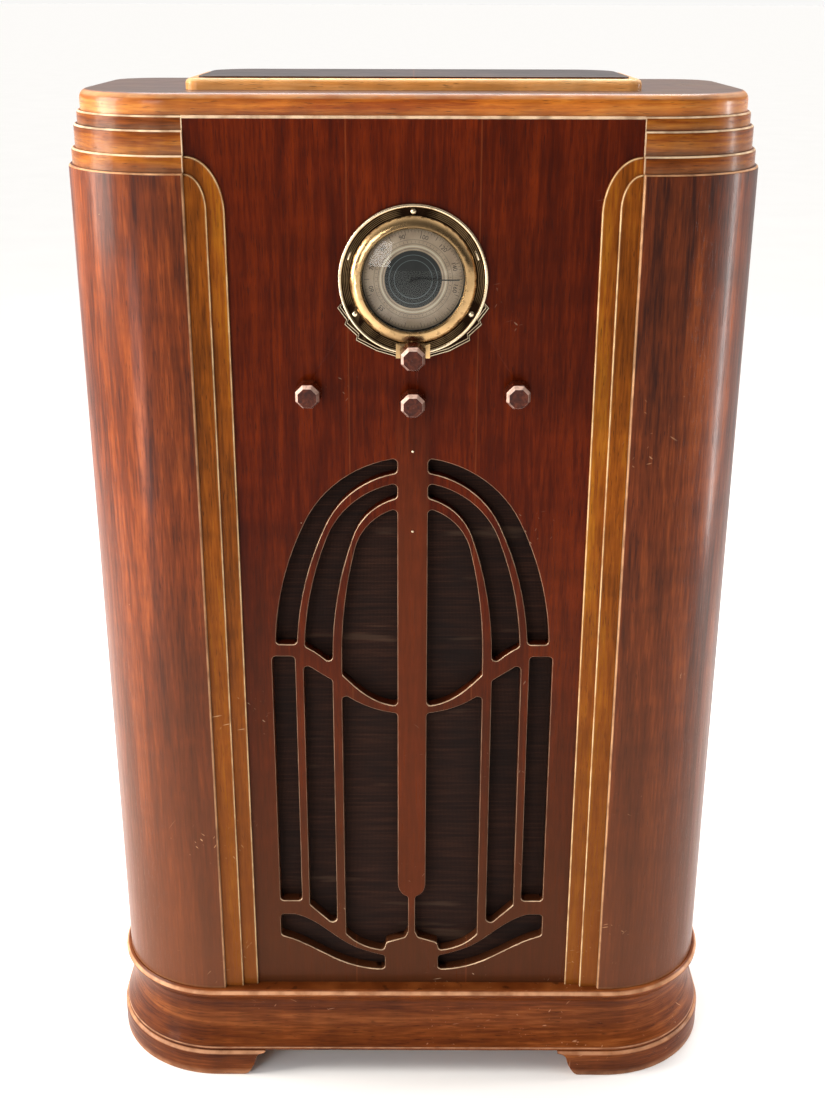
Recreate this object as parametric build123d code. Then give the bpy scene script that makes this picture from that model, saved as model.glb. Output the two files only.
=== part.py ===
from build123d import *
import math
import os

# A floor-standing console radio of the 1930s: a veneered cabinet with bent front corners, a cut-out
# grille, a round dial with four knobs, and the chassis and loudspeaker that it holds.
# Millimetres. X runs across the front, Y runs from the front to the back, Z is up.
# While it is drawn, Y = 0 is the face of the front panel. Every piece is moved once, when it is
# written, so that the origin lies on the floor under the middle of the whole object.

# ---- cabinet: sizes that can each be set by themselves
BODY_HALF_WIDTH = 309.0     # middle to the outside of a side panel
BODY_DEPTH = 290.5          # face of the corner posts to the back
POST_HEIGHT = 825.1         # corner posts, side panels and rear posts
FRONT_CORNER_R = 105.0      # outside radius of a bent corner post
REAR_CORNER_R = 60.0        # outside radius of a rear corner
POST_FLAT = 11.0            # flat front of a corner post beside the panel
POST_PROUD = 10.5           # corner posts stand this far in front of the panel
WALL_T = 14.0               # side panels and bent corners
PANEL_T = 12.0              # front panel
POST_TOP_ROUND = 2.5        # rounded upper edge of posts and side panels
POST_ARRIS_ROUND = 2.0      # rounded inner edge of a post
INNER_STRIP_W = 18.0
INNER_STRIP_T = 6.7
OUTER_STRIP_W = 15.0
OUTER_STRIP_T = 3.3
INNER_STRIP_DROP = 0.6      # top of the inner strip below the top of the post
INNER_STRIP_CURVE = (17.5, 30.0)
OUTER_STRIP_CURVE = (32.0, 48.0)
STRIP_ROUND = 1.2
BAND_STEP = 3.4             # each cornice band is set back this far from the one below
LOWER_BAND_H = 14.4
MIDDLE_BAND_H = 20.0
UPPER_BAND_H = 11.5
BAND_INSET = 22.0           # inner face of the bands, measured in from the outside of the body
BAND_ROUND = 2.6
TOP_BOARD_H = 17.5
TOP_BOARD_INSET = 13.5
TOP_BOARD_ROUND = 8.0
RISER_HALF_WIDTH = 197.0
RISER_FRONT = 46.0          # behind the front edge of the top board
RISER_DEPTH = 165.0
RISER_H = 9.4
RISER_ROUND = 4.5
RISER_FRONT_CORNER_R = 12.0
RISER_REAR_CORNER_R = 40.0
CAP_INSET = 10.0
CAP_H = 1.6

# ---- base: a moulded plinth on four feet
FOOT_H = 29.0
PLINTH_H = 73.5
PLINTH_INSET = 24.0         # inner face of the plinth, measured in from the outside of the body
BEAD_OUT = 5.5
BEAD_H = 10.5
WAIST_IN = 5.0
LIP_OUT = 8.0
FOOT_OUT = 11.0
FOOT_ROUND = 5.0
FOOT_FRONT_LENGTH = 50.0    # along the front, inwards from where the corner starts to bend
FOOT_SIDE_LENGTH = 45.0     # along the side, from where the corner ends
BOARD_T = 12.0
FIT = 0.3                   # gap round a board dropped between curved walls

# ---- grille
BAR_HALF_W = 14.0
BAR_NECK_HALF_W = 3.5
GRILLE_HALF_W = 134.5
ARCH_RISE = 196.0
GRILLE_TOP_GAP = 7.0        # shelf to the top of the outer arch
OPENING_ROUND = 4.0
OPENING_ARRIS = 1.0
CLOTH_T = 0.8
CLOTH_MARGIN = 10.0

# ---- loudspeaker
BAFFLE_T = 12.0
BAFFLE_HOLE_R = 112.0
BAFFLE_SIDE = 38.0          # wood left on each side of the speaker hole
SPEAKER_HEIGHT = 297.5      # centre of the speaker above the top of the plinth
TRANSFORMER_RISE = 38.0     # foot of the output transformer above the top of the plinth
BASKET_RIM_W = 20.0
BASKET_RIM_T = 2.5
BASKET_DEPTH = 60.0
BASKET_BACK_R = 48.0
BASKET_WALL = 1.6
BASKET_WINDOW_R = 24.0
CONE_EDGE_GAP = 6.5         # cone edge inside the baffle hole
CONE_DEPTH = 50.0
CONE_T = 0.9
VOICE_COIL_R = 19.0
CONE_TRAVEL = 1.0
POT_R = 42.0
POT_DEPTH = 66.0
POT_WALL = 4.0
GASKET_T = 1.0

# ---- dial, controls and chassis
DIAL_DROP = 136.0           # dial centre below the top of the front panel
PANEL_DIAL_HOLE_R = 50.0
ESCUTCHEON_R = 65.0
GLASS_R = 46.5
GLASS_SAG = 9.0
GLASS_T = 1.5
GLASS_DOME_R = 44.0
GLASS_EDGE_Y = -2.0
DIAL_PLATE_R = 48.0
DIAL_PLATE_T = 0.8
DIAL_PLATE_Y = 3.0
POINTER_LENGTH = 40.0
TUNING_DROP = 64.5          # tuning shaft below the dial centre
CENTRE_KNOB_DROP = 107.0
SIDE_KNOB_DROP = 99.0
SIDE_KNOB_X = 92.5
SHAFT_R = 3.0
RUNNING_GAP = 0.05          # radial, between a turning shaft and its bore
PANEL_SHAFT_HOLE_R = 5.0
KNOB_R = 12.3
KNOB_FACE_R = 9.0
KNOB_TAPER = 0.9
KNOB_BEVEL_LENGTH = 5.5
KNOB_LENGTH = 22.0
KNOB_GAP = 3.0              # back of a knob to the panel
KNOB_BORE_DEPTH = 14.0
BOSS_PROUD = 4.0
TUNING_KNOB_GAP = 2.2       # back of the tuning knob to the boss, so that it turns clear of the ring
DRIVE_RATIO = 8.0           # turns of the tuning knob to one turn of the dial
DRIVE_GAP = 0.15            # each wheel of the friction drive is this much under its rolling radius
SHELF_T = 18.0
SHELF_DROP = 135.5          # top of the shelf below the dial centre
CHASSIS_HALF_W = 170.0
CHASSIS_FRONT = 45.0
CHASSIS_DEPTH = 190.0
CHASSIS_H = 80.0
SHEET_T = 1.5
BUSH_R = 4.75
CONTROL_DEPTH = 18.0
BOLT_R = 2.5
SCREW_R = 1.4
SCREW_HEAD_R = 2.6
SCREW_CIRCLE_R = 58.5       # the three screws of the escutcheon
GROMMET_X = -110.0
GROMMET_R = 8.0
TERMINALS_X = 90.0
GANG_FRONT = 62.0           # tuning condenser
GANG_BACK = 148.0
GANG_HALF_W = 36.0
STATOR_R = 31.5
ROTOR_R = 28.0
PLATE_PITCH = 6.0
PLATE_COUNT = 11
LAMP_X = 20.0               # pilot lamps, above the middle of the dial
LAMP_RISE = 22.0
BRACKET_HALF_W = 60.0

# ---- places worked out from the sizes above
BAFFLE_HALF_W = BAFFLE_HOLE_R + BAFFLE_SIDE
BASKET_RIM_R = BAFFLE_HOLE_R + BASKET_RIM_W
FRONT_Y = -POST_PROUD
BACK_Y = FRONT_Y + BODY_DEPTH
CORNER_X = BODY_HALF_WIDTH - FRONT_CORNER_R
CORNER_Y = FRONT_Y + FRONT_CORNER_R
REAR_X = BODY_HALF_WIDTH - REAR_CORNER_R
REAR_Y = BACK_Y - REAR_CORNER_R
PANEL_X = CORNER_X - POST_FLAT
PLINTH_TOP = FOOT_H + PLINTH_H
POST_TOP = PLINTH_TOP + POST_HEIGHT
LOWER_BAND_TOP = POST_TOP + LOWER_BAND_H
MIDDLE_BAND_TOP = LOWER_BAND_TOP + MIDDLE_BAND_H
PANEL_TOP = MIDDLE_BAND_TOP + UPPER_BAND_H
TOP_BOARD_TOP = PANEL_TOP + TOP_BOARD_H
DIAL_Z = PANEL_TOP - DIAL_DROP
TUNING_Z = DIAL_Z - TUNING_DROP
SHELF_TOP = DIAL_Z - SHELF_DROP
SHELF_UNDER = SHELF_TOP - SHELF_T
SPRING_Z = SHELF_UNDER - GRILLE_TOP_GAP - ARCH_RISE
SPEAKER_Z = PLINTH_TOP + SPEAKER_HEIGHT
CLOTH_Y = PANEL_T
BAFFLE_Y = CLOTH_Y + CLOTH_T
BASKET_Y = BAFFLE_Y + BAFFLE_T
DECK_Z = SHELF_TOP + CHASSIS_H
CHASSIS_BACK = CHASSIS_FRONT + CHASSIS_DEPTH
BRACKET_Y = 20.0
DISC_Y = 30.0
DISC_T = 2.0
FRONT_MOST = BOSS_PROUD + TUNING_KNOB_GAP + KNOB_LENGTH
FRAME_SHIFT_Y = (FRONT_MOST - BACK_Y - FOOT_OUT) / 2

os.makedirs("parts", exist_ok=True)


def save(name, *solids):
    """Write one node, moved so that the middle of the whole depth lies at Y = 0."""
    moved = [Pos(0, FRAME_SHIFT_Y, 0) * solid for shape in solids for solid in shape.solids()]
    export_step(Compound(moved) if len(moved) > 1 else moved[0], f"parts/{name}.step")


def both_sides(*shapes):
    """The shapes drawn for the right-hand side, with their left-hand twins."""
    return list(shapes) + [mirror(shape, about=Plane.YZ) for shape in shapes]


def slab(face, y_front, y_back):
    """A flat piece: an outline drawn in X and Z, as thick as from y_front to y_back."""
    return extrude(Plane.XZ.offset(-y_back) * face, y_back - y_front)


def rod(x, z, radius, y_front, y_back):
    """A round bar that runs from the front towards the back."""
    return slab(Pos(x, z) * Circle(radius), y_front, y_back)


def tube(x, z, outer, inner, y_front, y_back):
    return slab(Pos(x, z) * (Circle(outer) - Circle(inner)), y_front, y_back)


def block(x0, x1, y0, y1, z0, z1):
    centre = Pos((x0 + x1) / 2, (y0 + y1) / 2, (z0 + z1) / 2)
    return centre * Box(x1 - x0, y1 - y0, z1 - z0)


def turned(points, x, z):
    """A piece turned about a front-to-back axis, from (radius, y) points."""
    outline = make_face(Polyline(*points, close=True))
    return Pos(x, 0, z) * revolve(outline, axis=Axis.Y)


# ---- mouldings that follow the plan of the cabinet: a section is drawn as (outwards, height), where
# 0 outwards is the outside of the body, and is run along the right-hand side.
def front_plane(x):
    return Plane(origin=(x, FRONT_Y, 0), x_dir=(0, -1, 0), z_dir=(-1, 0, 0))


def side_plane(y):
    return Plane(origin=(BODY_HALF_WIDTH, y, 0), x_dir=(1, 0, 0), z_dir=(0, -1, 0))


def front_run(section, x0, x1):
    return extrude(front_plane(x1) * section, x1 - x0)


def front_bend(section):
    axis = Axis((CORNER_X, CORNER_Y, 0), (0, 0, 1))
    return revolve(front_plane(CORNER_X) * section, axis=axis, revolution_arc=90)


def side_run(section, y0, y1):
    return extrude(side_plane(y1) * section, y1 - y0)


def rear_bend(section):
    axis = Axis((REAR_X, REAR_Y, 0), (0, 0, 1))
    return revolve(side_plane(REAR_Y) * section, axis=axis, revolution_arc=90)


def bar_section(inner, outer, low, high, top_round):
    """A plain rectangle between two distances from the outside of the body, its top edge rounded."""
    section = Pos((inner + outer) / 2, (low + high) / 2) * Rectangle(outer - inner, high - low)
    corner = section.vertices().group_by(Axis.X)[-1].sort_by(Axis.Y)[-1]
    return fillet(corner, top_round)


def plan(offset):
    """The plan of the cabinet with its rounded corners, grown outwards by offset."""
    depth = BODY_DEPTH + 2 * offset
    face = Pos(0, (FRONT_Y + BACK_Y) / 2) * Rectangle(2 * (BODY_HALF_WIDTH + offset), depth)
    face = fillet(face.vertices().group_by(Axis.Y)[0], FRONT_CORNER_R + offset)
    return fillet(face.vertices().group_by(Axis.Y)[-1], REAR_CORNER_R + offset)


# ------------------------------------------------------------------------------ cabinet walls
wall = bar_section(-WALL_T, 0, PLINTH_TOP, POST_TOP, POST_TOP_ROUND)
post = front_bend(wall) + front_run(wall, PANEL_X, CORNER_X)
post += block(PANEL_X, CORNER_X, FRONT_Y + WALL_T / 2, PANEL_T, PLINTH_TOP, POST_TOP)
arris = post.edges().filter_by(Axis.Z).group_by(Axis.Y)[0].sort_by(Axis.X)[0]
post = fillet(arris, POST_ARRIS_ROUND)
save("right_corner_post", post)
save("left_corner_post", mirror(post, about=Plane.YZ))

side = side_run(wall, CORNER_Y, REAR_Y)
save("side_panels", *both_sides(side))
save("rear_posts", *both_sides(rear_bend(wall)))

bands = [
    ("lower_cornice_band", POST_TOP, LOWER_BAND_TOP),
    ("middle_cornice_band", LOWER_BAND_TOP, MIDDLE_BAND_TOP),
    ("upper_cornice_band", MIDDLE_BAND_TOP, PANEL_TOP),
]
for step, (name, low, high) in enumerate(bands, start=1):
    section = bar_section(-BAND_INSET, -BAND_STEP * step, low, high, BAND_ROUND)
    front_piece = front_bend(section) + front_run(section, PANEL_X, CORNER_X)
    save(name, *both_sides(front_piece, side_run(section, CORNER_Y, REAR_Y), rear_bend(section)))

# ------------------------------------------------------------------------------ top
top_board = extrude(Pos(0, 0, PANEL_TOP) * plan(-TOP_BOARD_INSET), TOP_BOARD_H)
top_board = fillet(top_board.faces().sort_by(Axis.Z)[-1].edges(), TOP_BOARD_ROUND)
save("top_board", top_board)


def riser_plan(inset):
    front = FRONT_Y + TOP_BOARD_INSET + RISER_FRONT + inset
    back = front + RISER_DEPTH - 2 * inset
    face = Pos(0, (front + back) / 2) * Rectangle(2 * (RISER_HALF_WIDTH - inset), back - front)
    face = fillet(face.vertices().group_by(Axis.Y)[0], RISER_FRONT_CORNER_R)
    return fillet(face.vertices().group_by(Axis.Y)[-1], RISER_REAR_CORNER_R)


riser = extrude(Pos(0, 0, TOP_BOARD_TOP) * riser_plan(0), RISER_H)
riser = fillet(riser.faces().sort_by(Axis.Z)[-1].edges(), RISER_ROUND)
cap = extrude(Pos(0, 0, TOP_BOARD_TOP + RISER_H) * riser_plan(CAP_INSET), CAP_H)
save("top_riser", riser, cap)


# ------------------------------------------------------------------------------ front panel
def three_centred_arch(half_width, spring, rise, crown_radius, bottom):
    """The right half of the space under an arch, down to the height bottom."""
    a, b, r = half_width, rise, crown_radius
    side_radius = (a * a + b * b - 2 * b * r) / (2 * (a - r))
    side_x = a - side_radius
    crown_z = spring + b - r
    lean = math.atan2(crown_z - spring, -side_x)
    join = (side_x + side_radius * math.cos(lean), spring + side_radius * math.sin(lean))
    side_mid = (side_x + side_radius * math.cos(lean / 2), spring + side_radius * math.sin(lean / 2))
    half_turn = (lean + math.pi / 2) / 2
    crown_mid = (r * math.cos(half_turn), crown_z + r * math.sin(half_turn))
    edges = [
        Line((0, bottom), (a, bottom)),
        Line((a, bottom), (a, spring)),
        ThreePointArc((a, spring), side_mid, join),
        ThreePointArc(join, crown_mid, (0, spring + b)),
        Line((0, spring + b), (0, bottom)),
    ]
    return make_face(Wire(edges))


def opening(face):
    """What is cut out for one opening: its outline through the panel, the sharp corners rounded."""
    cutter = slab(face, -1, PANEL_T + 1)
    sides = [side for side in cutter.faces() if abs(side.normal_at(side.center()).Y) < 0.5]
    sharp = []
    for edge in cutter.edges().filter_by(Axis.Y):
        middle = edge.center()
        meeting = [side.normal_at(middle) for side in sides if side.distance_to(middle) < 1e-5]
        if len(meeting) == 2 and meeting[0].get_angle(meeting[1]) > 20:
            sharp.append(edge)
    return fillet(sharp, OPENING_ROUND)


low = PLINTH_TOP
arches = [
    three_centred_arch(130.0, SPRING_Z, ARCH_RISE, 110.0, SPRING_Z - 100),
    three_centred_arch(110.0, SPRING_Z - 5.0, 187.5, 88.0, SPRING_Z - 100),
    three_centred_arch(102.5, SPRING_Z - 5.0, 177.5, 85.0, SPRING_Z - 100),
    three_centred_arch(76.0, SPRING_Z - 5.0, 164.0, 58.0, SPRING_Z - 100),
    three_centred_arch(67.0, SPRING_Z - 5.0, 154.0, 55.0, SPRING_Z - 100),
]
swag_points = [
    (BAR_HALF_W, SPRING_Z - 55),
    (40.5, SPRING_Z - 46),
    (67.0, SPRING_Z - 22),
    (80.0, SPRING_Z - 8.5),
    (98.0, SPRING_Z + 5.5),
    (107.0, SPRING_Z + 10),
]
above_swag = make_face(
    Wire(
        [
            Spline(*swag_points),
            Line(swag_points[-1], (140, SPRING_Z + 10)),
            Line((140, SPRING_Z + 10), (140, SPRING_Z + 210)),
            Line((140, SPRING_Z + 210), (BAR_HALF_W, SPRING_Z + 210)),
            Line((BAR_HALF_W, SPRING_Z + 210), swag_points[0]),
        ]
    )
)
upper_openings = [
    (arches[0] - arches[1]) & above_swag,
    (arches[2] - arches[3]) & above_swag,
    arches[4] & above_swag,
]

outer_slot = Pos(123, (SPRING_Z - 2.5 + low + 100.5) / 2) * Rectangle(22, SPRING_Z - 103 - low)
middle_slot = make_face(
    Polyline(
        (76.5, low + 77),
        (82, low + 73.5),
        (104, low + 95.5),
        (104, SPRING_Z - 10),
        (98, SPRING_Z - 13.5),
        (76.5, SPRING_Z - 28),
        close=True,
    )
)
shoulder = BAR_HALF_W - BAR_NECK_HALF_W
centre_slot = make_face(
    Wire(
        [
            Line((BAR_HALF_W, SPRING_Z - 63), (BAR_HALF_W, low + 122)),
            EllipticalCenterArc((BAR_NECK_HALF_W, low + 122), shoulder, 16, 270, arc_size=90),
            Line((BAR_NECK_HALF_W, low + 106), (BAR_NECK_HALF_W, low + 63)),
            Line((BAR_NECK_HALF_W, low + 63), (6.5, low + 56)),
            Line((6.5, low + 56), (26, low + 49.5)),
            Line((26, low + 49.5), (28.5, low + 40)),
            ThreePointArc((28.5, low + 40), (50, low + 46), (67.5, low + 60)),
            Line((67.5, low + 60), (67.5, SPRING_Z - 41)),
            ThreePointArc((67.5, SPRING_Z - 41), (40, SPRING_Z - 57), (BAR_HALF_W, SPRING_Z - 63)),
        ]
    )
)
smile_slot = make_face(
    Wire(
        [
            Line((27.5, low + 16.5), (27.5, low + 33)),
            Spline((27.5, low + 33), (46, low + 38.5), (61, low + 45), (91, low + 68), (120, low + 84)),
            Line((120, low + 84), (GRILLE_HALF_W, low + 84)),
            Line((GRILLE_HALF_W, low + 84), (GRILLE_HALF_W, low + 58)),
            Spline(
                (GRILLE_HALF_W, low + 58),
                (105, low + 45),
                (75, low + 27.5),
                (45, low + 17.5),
                (27.5, low + 16.5),
            ),
        ]
    )
)
half_openings = [
    opening(face.face())
    for face in upper_openings + [outer_slot, middle_slot, centre_slot, smile_slot]
]

knob_places = {
    "volume": (-SIDE_KNOB_X, DIAL_Z - SIDE_KNOB_DROP),
    "band": (0.0, DIAL_Z - CENTRE_KNOB_DROP),
    "tone": (SIDE_KNOB_X, DIAL_Z - SIDE_KNOB_DROP),
}
screw_places = [
    (SCREW_CIRCLE_R * math.cos(math.radians(a)), DIAL_Z + SCREW_CIRCLE_R * math.sin(math.radians(a)))
    for a in (90, 210, 330)
]

panel = block(-PANEL_X, PANEL_X, 0, PANEL_T, PLINTH_TOP, PANEL_TOP)
for cut in half_openings:
    panel -= cut
    panel -= mirror(cut, about=Plane.YZ)
front_rims = [
    edge
    for edge in panel.faces().filter_by(Axis.Y).sort_by(Axis.Y)[0].edges()
    if abs(edge.center().X) < PANEL_X - 1 and PLINTH_TOP + 1 < edge.center().Z < PANEL_TOP - 1
]
panel = fillet(front_rims, OPENING_ARRIS)
panel -= rod(0, DIAL_Z, PANEL_DIAL_HOLE_R, -1, PANEL_T + 1)
panel -= rod(0, TUNING_Z, PANEL_SHAFT_HOLE_R, -1, PANEL_T + 1)
for x, z in knob_places.values():
    panel -= rod(x, z, PANEL_SHAFT_HOLE_R, -1, PANEL_T + 1)
for x, z in screw_places:
    panel -= rod(x, z, SCREW_R + RUNNING_GAP, -1, 9)
save("front_panel", panel)


# ------------------------------------------------------------------------------ stepped strips
def strip_outline(inner_x, top, curve):
    """The board between inner_x and the post, its top inner corner a quarter of an ellipse."""
    across, up = curve
    edges = [
        Line((PANEL_X, PLINTH_TOP), (inner_x, PLINTH_TOP)),
        Line((inner_x, PLINTH_TOP), (inner_x, top - up)),
        EllipticalCenterArc((inner_x + across, top - up), across, up, 90, arc_size=90),
        Line((inner_x + across, top), (PANEL_X, top)),
        Line((PANEL_X, top), (PANEL_X, PLINTH_TOP)),
    ]
    return make_face(Wire(edges))


inner_x = PANEL_X - INNER_STRIP_W
outer_x = inner_x - OUTER_STRIP_W
inner_outline = strip_outline(inner_x, POST_TOP - INNER_STRIP_DROP, INNER_STRIP_CURVE)
outer_outline = strip_outline(outer_x, LOWER_BAND_TOP - 1, OUTER_STRIP_CURVE) - inner_outline
inner_strip = slab(inner_outline, -INNER_STRIP_T, 0)
outer_strip = slab(outer_outline, -OUTER_STRIP_T, 0)


def round_free_edges(strip, limit_x):
    """Round the front edges of a strip, but not where it meets the post or the plinth."""
    free = [
        edge
        for edge in strip.faces().filter_by(Axis.Y).sort_by(Axis.Y)[0].edges()
        if edge.center().X < limit_x and edge.center().Z > PLINTH_TOP + 1
    ]
    return fillet(free, STRIP_ROUND)


inner_strip = round_free_edges(inner_strip, PANEL_X - 0.5)
save("inner_strips", *both_sides(inner_strip))
save("outer_strips", *both_sides(outer_strip))

# ------------------------------------------------------------------------------ plinth and feet
plinth_outline = make_face(
    Wire(
        [
            Line((-PLINTH_INSET, FOOT_H), (LIP_OUT - 1, FOOT_H)),
            ThreePointArc((LIP_OUT - 1, FOOT_H), (LIP_OUT, FOOT_H + 2), (LIP_OUT - 0.5, FOOT_H + 4.5)),
            Spline(
                (LIP_OUT - 0.5, FOOT_H + 4.5),
                (1.5, FOOT_H + 18),
                (-WAIST_IN + 0.8, FOOT_H + 36),
                (-WAIST_IN + 0.6, FOOT_H + 52),
                (0, PLINTH_TOP - BEAD_H - 1.5),
            ),
            Line((0, PLINTH_TOP - BEAD_H - 1.5), (1.5, PLINTH_TOP - BEAD_H)),
            ThreePointArc(
                (1.5, PLINTH_TOP - BEAD_H), (BEAD_OUT, PLINTH_TOP - BEAD_H * 0.55), (1.5, PLINTH_TOP)
            ),
            Line((1.5, PLINTH_TOP), (-PLINTH_INSET, PLINTH_TOP)),
            Line((-PLINTH_INSET, PLINTH_TOP), (-PLINTH_INSET, FOOT_H)),
        ]
    )
)
save("plinth_front", front_run(plinth_outline, -CORNER_X, CORNER_X))
save("plinth_corners", *both_sides(front_bend(plinth_outline), rear_bend(plinth_outline)))
save("plinth_sides", *both_sides(side_run(plinth_outline, CORNER_Y, REAR_Y)))

foot_section = bar_section(-PLINTH_INSET, FOOT_OUT, 0, FOOT_H, FOOT_ROUND)


def ogee():
    """What is cut from the end of a foot: a double curve, drawn as (back from the end, height)."""
    edges = [
        Line((-1, FOOT_H + 1), (-1, -1)),
        Line((-1, -1), (24, -1)),
        Line((24, -1), (24, 0)),
        Spline((24, 0), (18, 3), (12, 13), (8, 24.5), (0, FOOT_H - 1)),
        Line((0, FOOT_H - 1), (0, FOOT_H + 1)),
        Line((0, FOOT_H + 1), (-1, FOOT_H + 1)),
    ]
    return make_face(Wire(edges))


foot_x = CORNER_X - FOOT_FRONT_LENGTH
front_cutter = slab(Pos(foot_x, 0) * ogee(), FRONT_Y - FOOT_OUT - 1, FRONT_Y + PLINTH_INSET + 1)
x_in = BODY_HALF_WIDTH - PLINTH_INSET - 1
x_out = BODY_HALF_WIDTH + FOOT_OUT + 1


def side_cutter(y_end, toward_back):
    """The same double curve, cut through a foot where it ends under the side of the plinth."""
    sense = 1 if toward_back else -1
    plane = Plane(origin=(x_in, y_end, 0), x_dir=(0, sense, 0), z_dir=(sense, 0, 0))
    return extrude(plane * ogee(), sense * (x_out - x_in))


front_end = CORNER_Y + FOOT_SIDE_LENGTH
rear_end = REAR_Y - FOOT_SIDE_LENGTH
front_foot = front_bend(foot_section) + front_run(foot_section, foot_x, CORNER_X)
front_foot += side_run(foot_section, CORNER_Y, front_end)
front_foot -= front_cutter
front_foot -= side_cutter(front_end, False)
rear_foot = rear_bend(foot_section) + side_run(foot_section, rear_end, REAR_Y)
rear_foot -= side_cutter(rear_end, True)
save("front_feet", *both_sides(front_foot))
save("rear_feet", *both_sides(rear_foot))

bottom_board = Pos(0, 0, PLINTH_TOP - BOARD_T) * plan(-PLINTH_INSET - FIT)
save("bottom_board", extrude(bottom_board, BOARD_T))

# ------------------------------------------------------------------------------ shelf
shelf = extrude(Pos(0, 0, SHELF_UNDER) * plan(-WALL_T - FIT), SHELF_T)
shelf &= block(-BODY_HALF_WIDTH, BODY_HALF_WIDTH, BAFFLE_Y + 1, REAR_Y + 40, 0, SHELF_TOP)
cleat_x = BODY_HALF_WIDTH - WALL_T
cleat = block(cleat_x - 18, cleat_x, CORNER_Y + 6, REAR_Y - 6, SHELF_UNDER - 18, SHELF_UNDER)
save("shelf_cleats", *both_sides(cleat))

# ------------------------------------------------------------------------------ grille cloth, baffle
grille_half_w = GRILLE_HALF_W + CLOTH_MARGIN
grille_low = PLINTH_TOP + 6.5
grille_high = SHELF_UNDER - 1
cloth = block(-grille_half_w, grille_half_w, CLOTH_Y, BAFFLE_Y, grille_low, grille_high)
save("grille_cloth", cloth)
baffle = block(-BAFFLE_HALF_W, BAFFLE_HALF_W, BAFFLE_Y, BASKET_Y, grille_low - 1, grille_high)
baffle -= rod(0, SPEAKER_Z, BAFFLE_HOLE_R, BAFFLE_Y - 1, BASKET_Y + 1)
bolt_circle = (BAFFLE_HOLE_R + BASKET_RIM_R) / 2 + 2
bolt_places = [
    (bolt_circle * math.cos(math.radians(a)), SPEAKER_Z + bolt_circle * math.sin(math.radians(a)))
    for a in (45, 135, 225, 315)
]
for x, z in bolt_places:
    baffle -= rod(x, z, BOLT_R + RUNNING_GAP, BASKET_Y - 9, BASKET_Y + 1)
save("speaker_baffle", baffle)

# ------------------------------------------------------------------------------ loudspeaker
cone_edge_r = BAFFLE_HOLE_R - CONE_EDGE_GAP
surround = tube(0, SPEAKER_Z, BASKET_RIM_R, cone_edge_r + 0.6, BASKET_Y, BASKET_Y + GASKET_T)
rim_y = BASKET_Y + GASKET_T
shell_y = rim_y + BASKET_RIM_T
back_y = shell_y + BASKET_DEPTH
basket = turned(
    [
        (BASKET_RIM_R, rim_y),
        (BASKET_RIM_R, shell_y),
        (BAFFLE_HOLE_R + BASKET_WALL, shell_y),
        (BASKET_BACK_R + BASKET_WALL, back_y),
        (BASKET_BACK_R + BASKET_WALL, back_y + BASKET_WALL * 2),
        (VOICE_COIL_R + 4, back_y + BASKET_WALL * 2),
        (VOICE_COIL_R + 4, back_y),
        (BASKET_BACK_R, back_y - BASKET_WALL),
        (BAFFLE_HOLE_R, rim_y + 1),
        (BAFFLE_HOLE_R, rim_y),
    ],
    0,
    SPEAKER_Z,
)
window_circle = (BAFFLE_HOLE_R + BASKET_BACK_R) / 2
for turn in (0, 90, 180, 270):
    x = window_circle * math.cos(math.radians(turn))
    z = SPEAKER_Z + window_circle * math.sin(math.radians(turn))
    basket -= rod(x, z, BASKET_WINDOW_R, shell_y + 12, back_y - 12)
for x, z in bolt_places:
    surround -= rod(x, z, BOLT_R + RUNNING_GAP, BASKET_Y - 1, rim_y + 1)
    basket -= rod(x, z, BOLT_R + RUNNING_GAP, rim_y - 1, shell_y + 1)
save("cone_surround", surround)
save("speaker_basket", basket)
bolts = []
for x, z in bolt_places:
    head = rod(x, z, BOLT_R * 2, shell_y, shell_y + 3.5)
    bolts.append(rod(x, z, BOLT_R, BASKET_Y - 8, shell_y) + head)
save("speaker_bolts", *bolts)

cone_front = BASKET_Y + CONE_TRAVEL + 0.5
cone_back = cone_front + CONE_DEPTH
former_back = back_y + 5
cone = turned(
    [
        (cone_edge_r, cone_front),
        (cone_edge_r, cone_front + CONE_T),
        (VOICE_COIL_R + 1.2, cone_back),
        (VOICE_COIL_R + 0.8, cone_back),
        (VOICE_COIL_R + 0.8, former_back),
        (VOICE_COIL_R, former_back),
        (VOICE_COIL_R, cone_back - 2),
        (0, cone_back - 12),
        (0, cone_back - 13),
        (VOICE_COIL_R, cone_back - 3.5),
        (cone_edge_r - 3, cone_front),
    ],
    0,
    SPEAKER_Z,
)
save("speaker_cone", cone)

pot_y = back_y + BASKET_WALL * 2
pot_back = pot_y + POT_DEPTH
pole_r = VOICE_COIL_R - 1
pot = turned(
    [
        (VOICE_COIL_R + 1.6, pot_y),
        (POT_R, pot_y),
        (POT_R, pot_back),
        (0, pot_back),
        (0, back_y + 1),
        (pole_r, back_y + 1),
        (pole_r, pot_back - POT_WALL),
        (POT_R - POT_WALL, pot_back - POT_WALL),
        (POT_R - POT_WALL, pot_y + 6),
        (VOICE_COIL_R + 1.6, pot_y + 6),
    ],
    0,
    SPEAKER_Z,
)
save("magnet_pot", pot)
coil_r = POT_R - POT_WALL - 1
save("field_coil", tube(0, SPEAKER_Z, coil_r, pole_r + 2, pot_y + 7, pot_back - POT_WALL))

trans_x = -BAFFLE_HALF_W + 30
trans_z = PLINTH_TOP + TRANSFORMER_RISE
trans = block(trans_x, trans_x + 56, BASKET_Y, BASKET_Y + 2, trans_z - 8, trans_z + 58)
trans += block(trans_x, trans_x + 56, BASKET_Y + 2, BASKET_Y + 26, trans_z, trans_z + 50)
trans += block(trans_x + 12, trans_x + 44, BASKET_Y + 2, BASKET_Y + 40, trans_z + 9, trans_z + 41)
save("output_transformer", trans)

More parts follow.
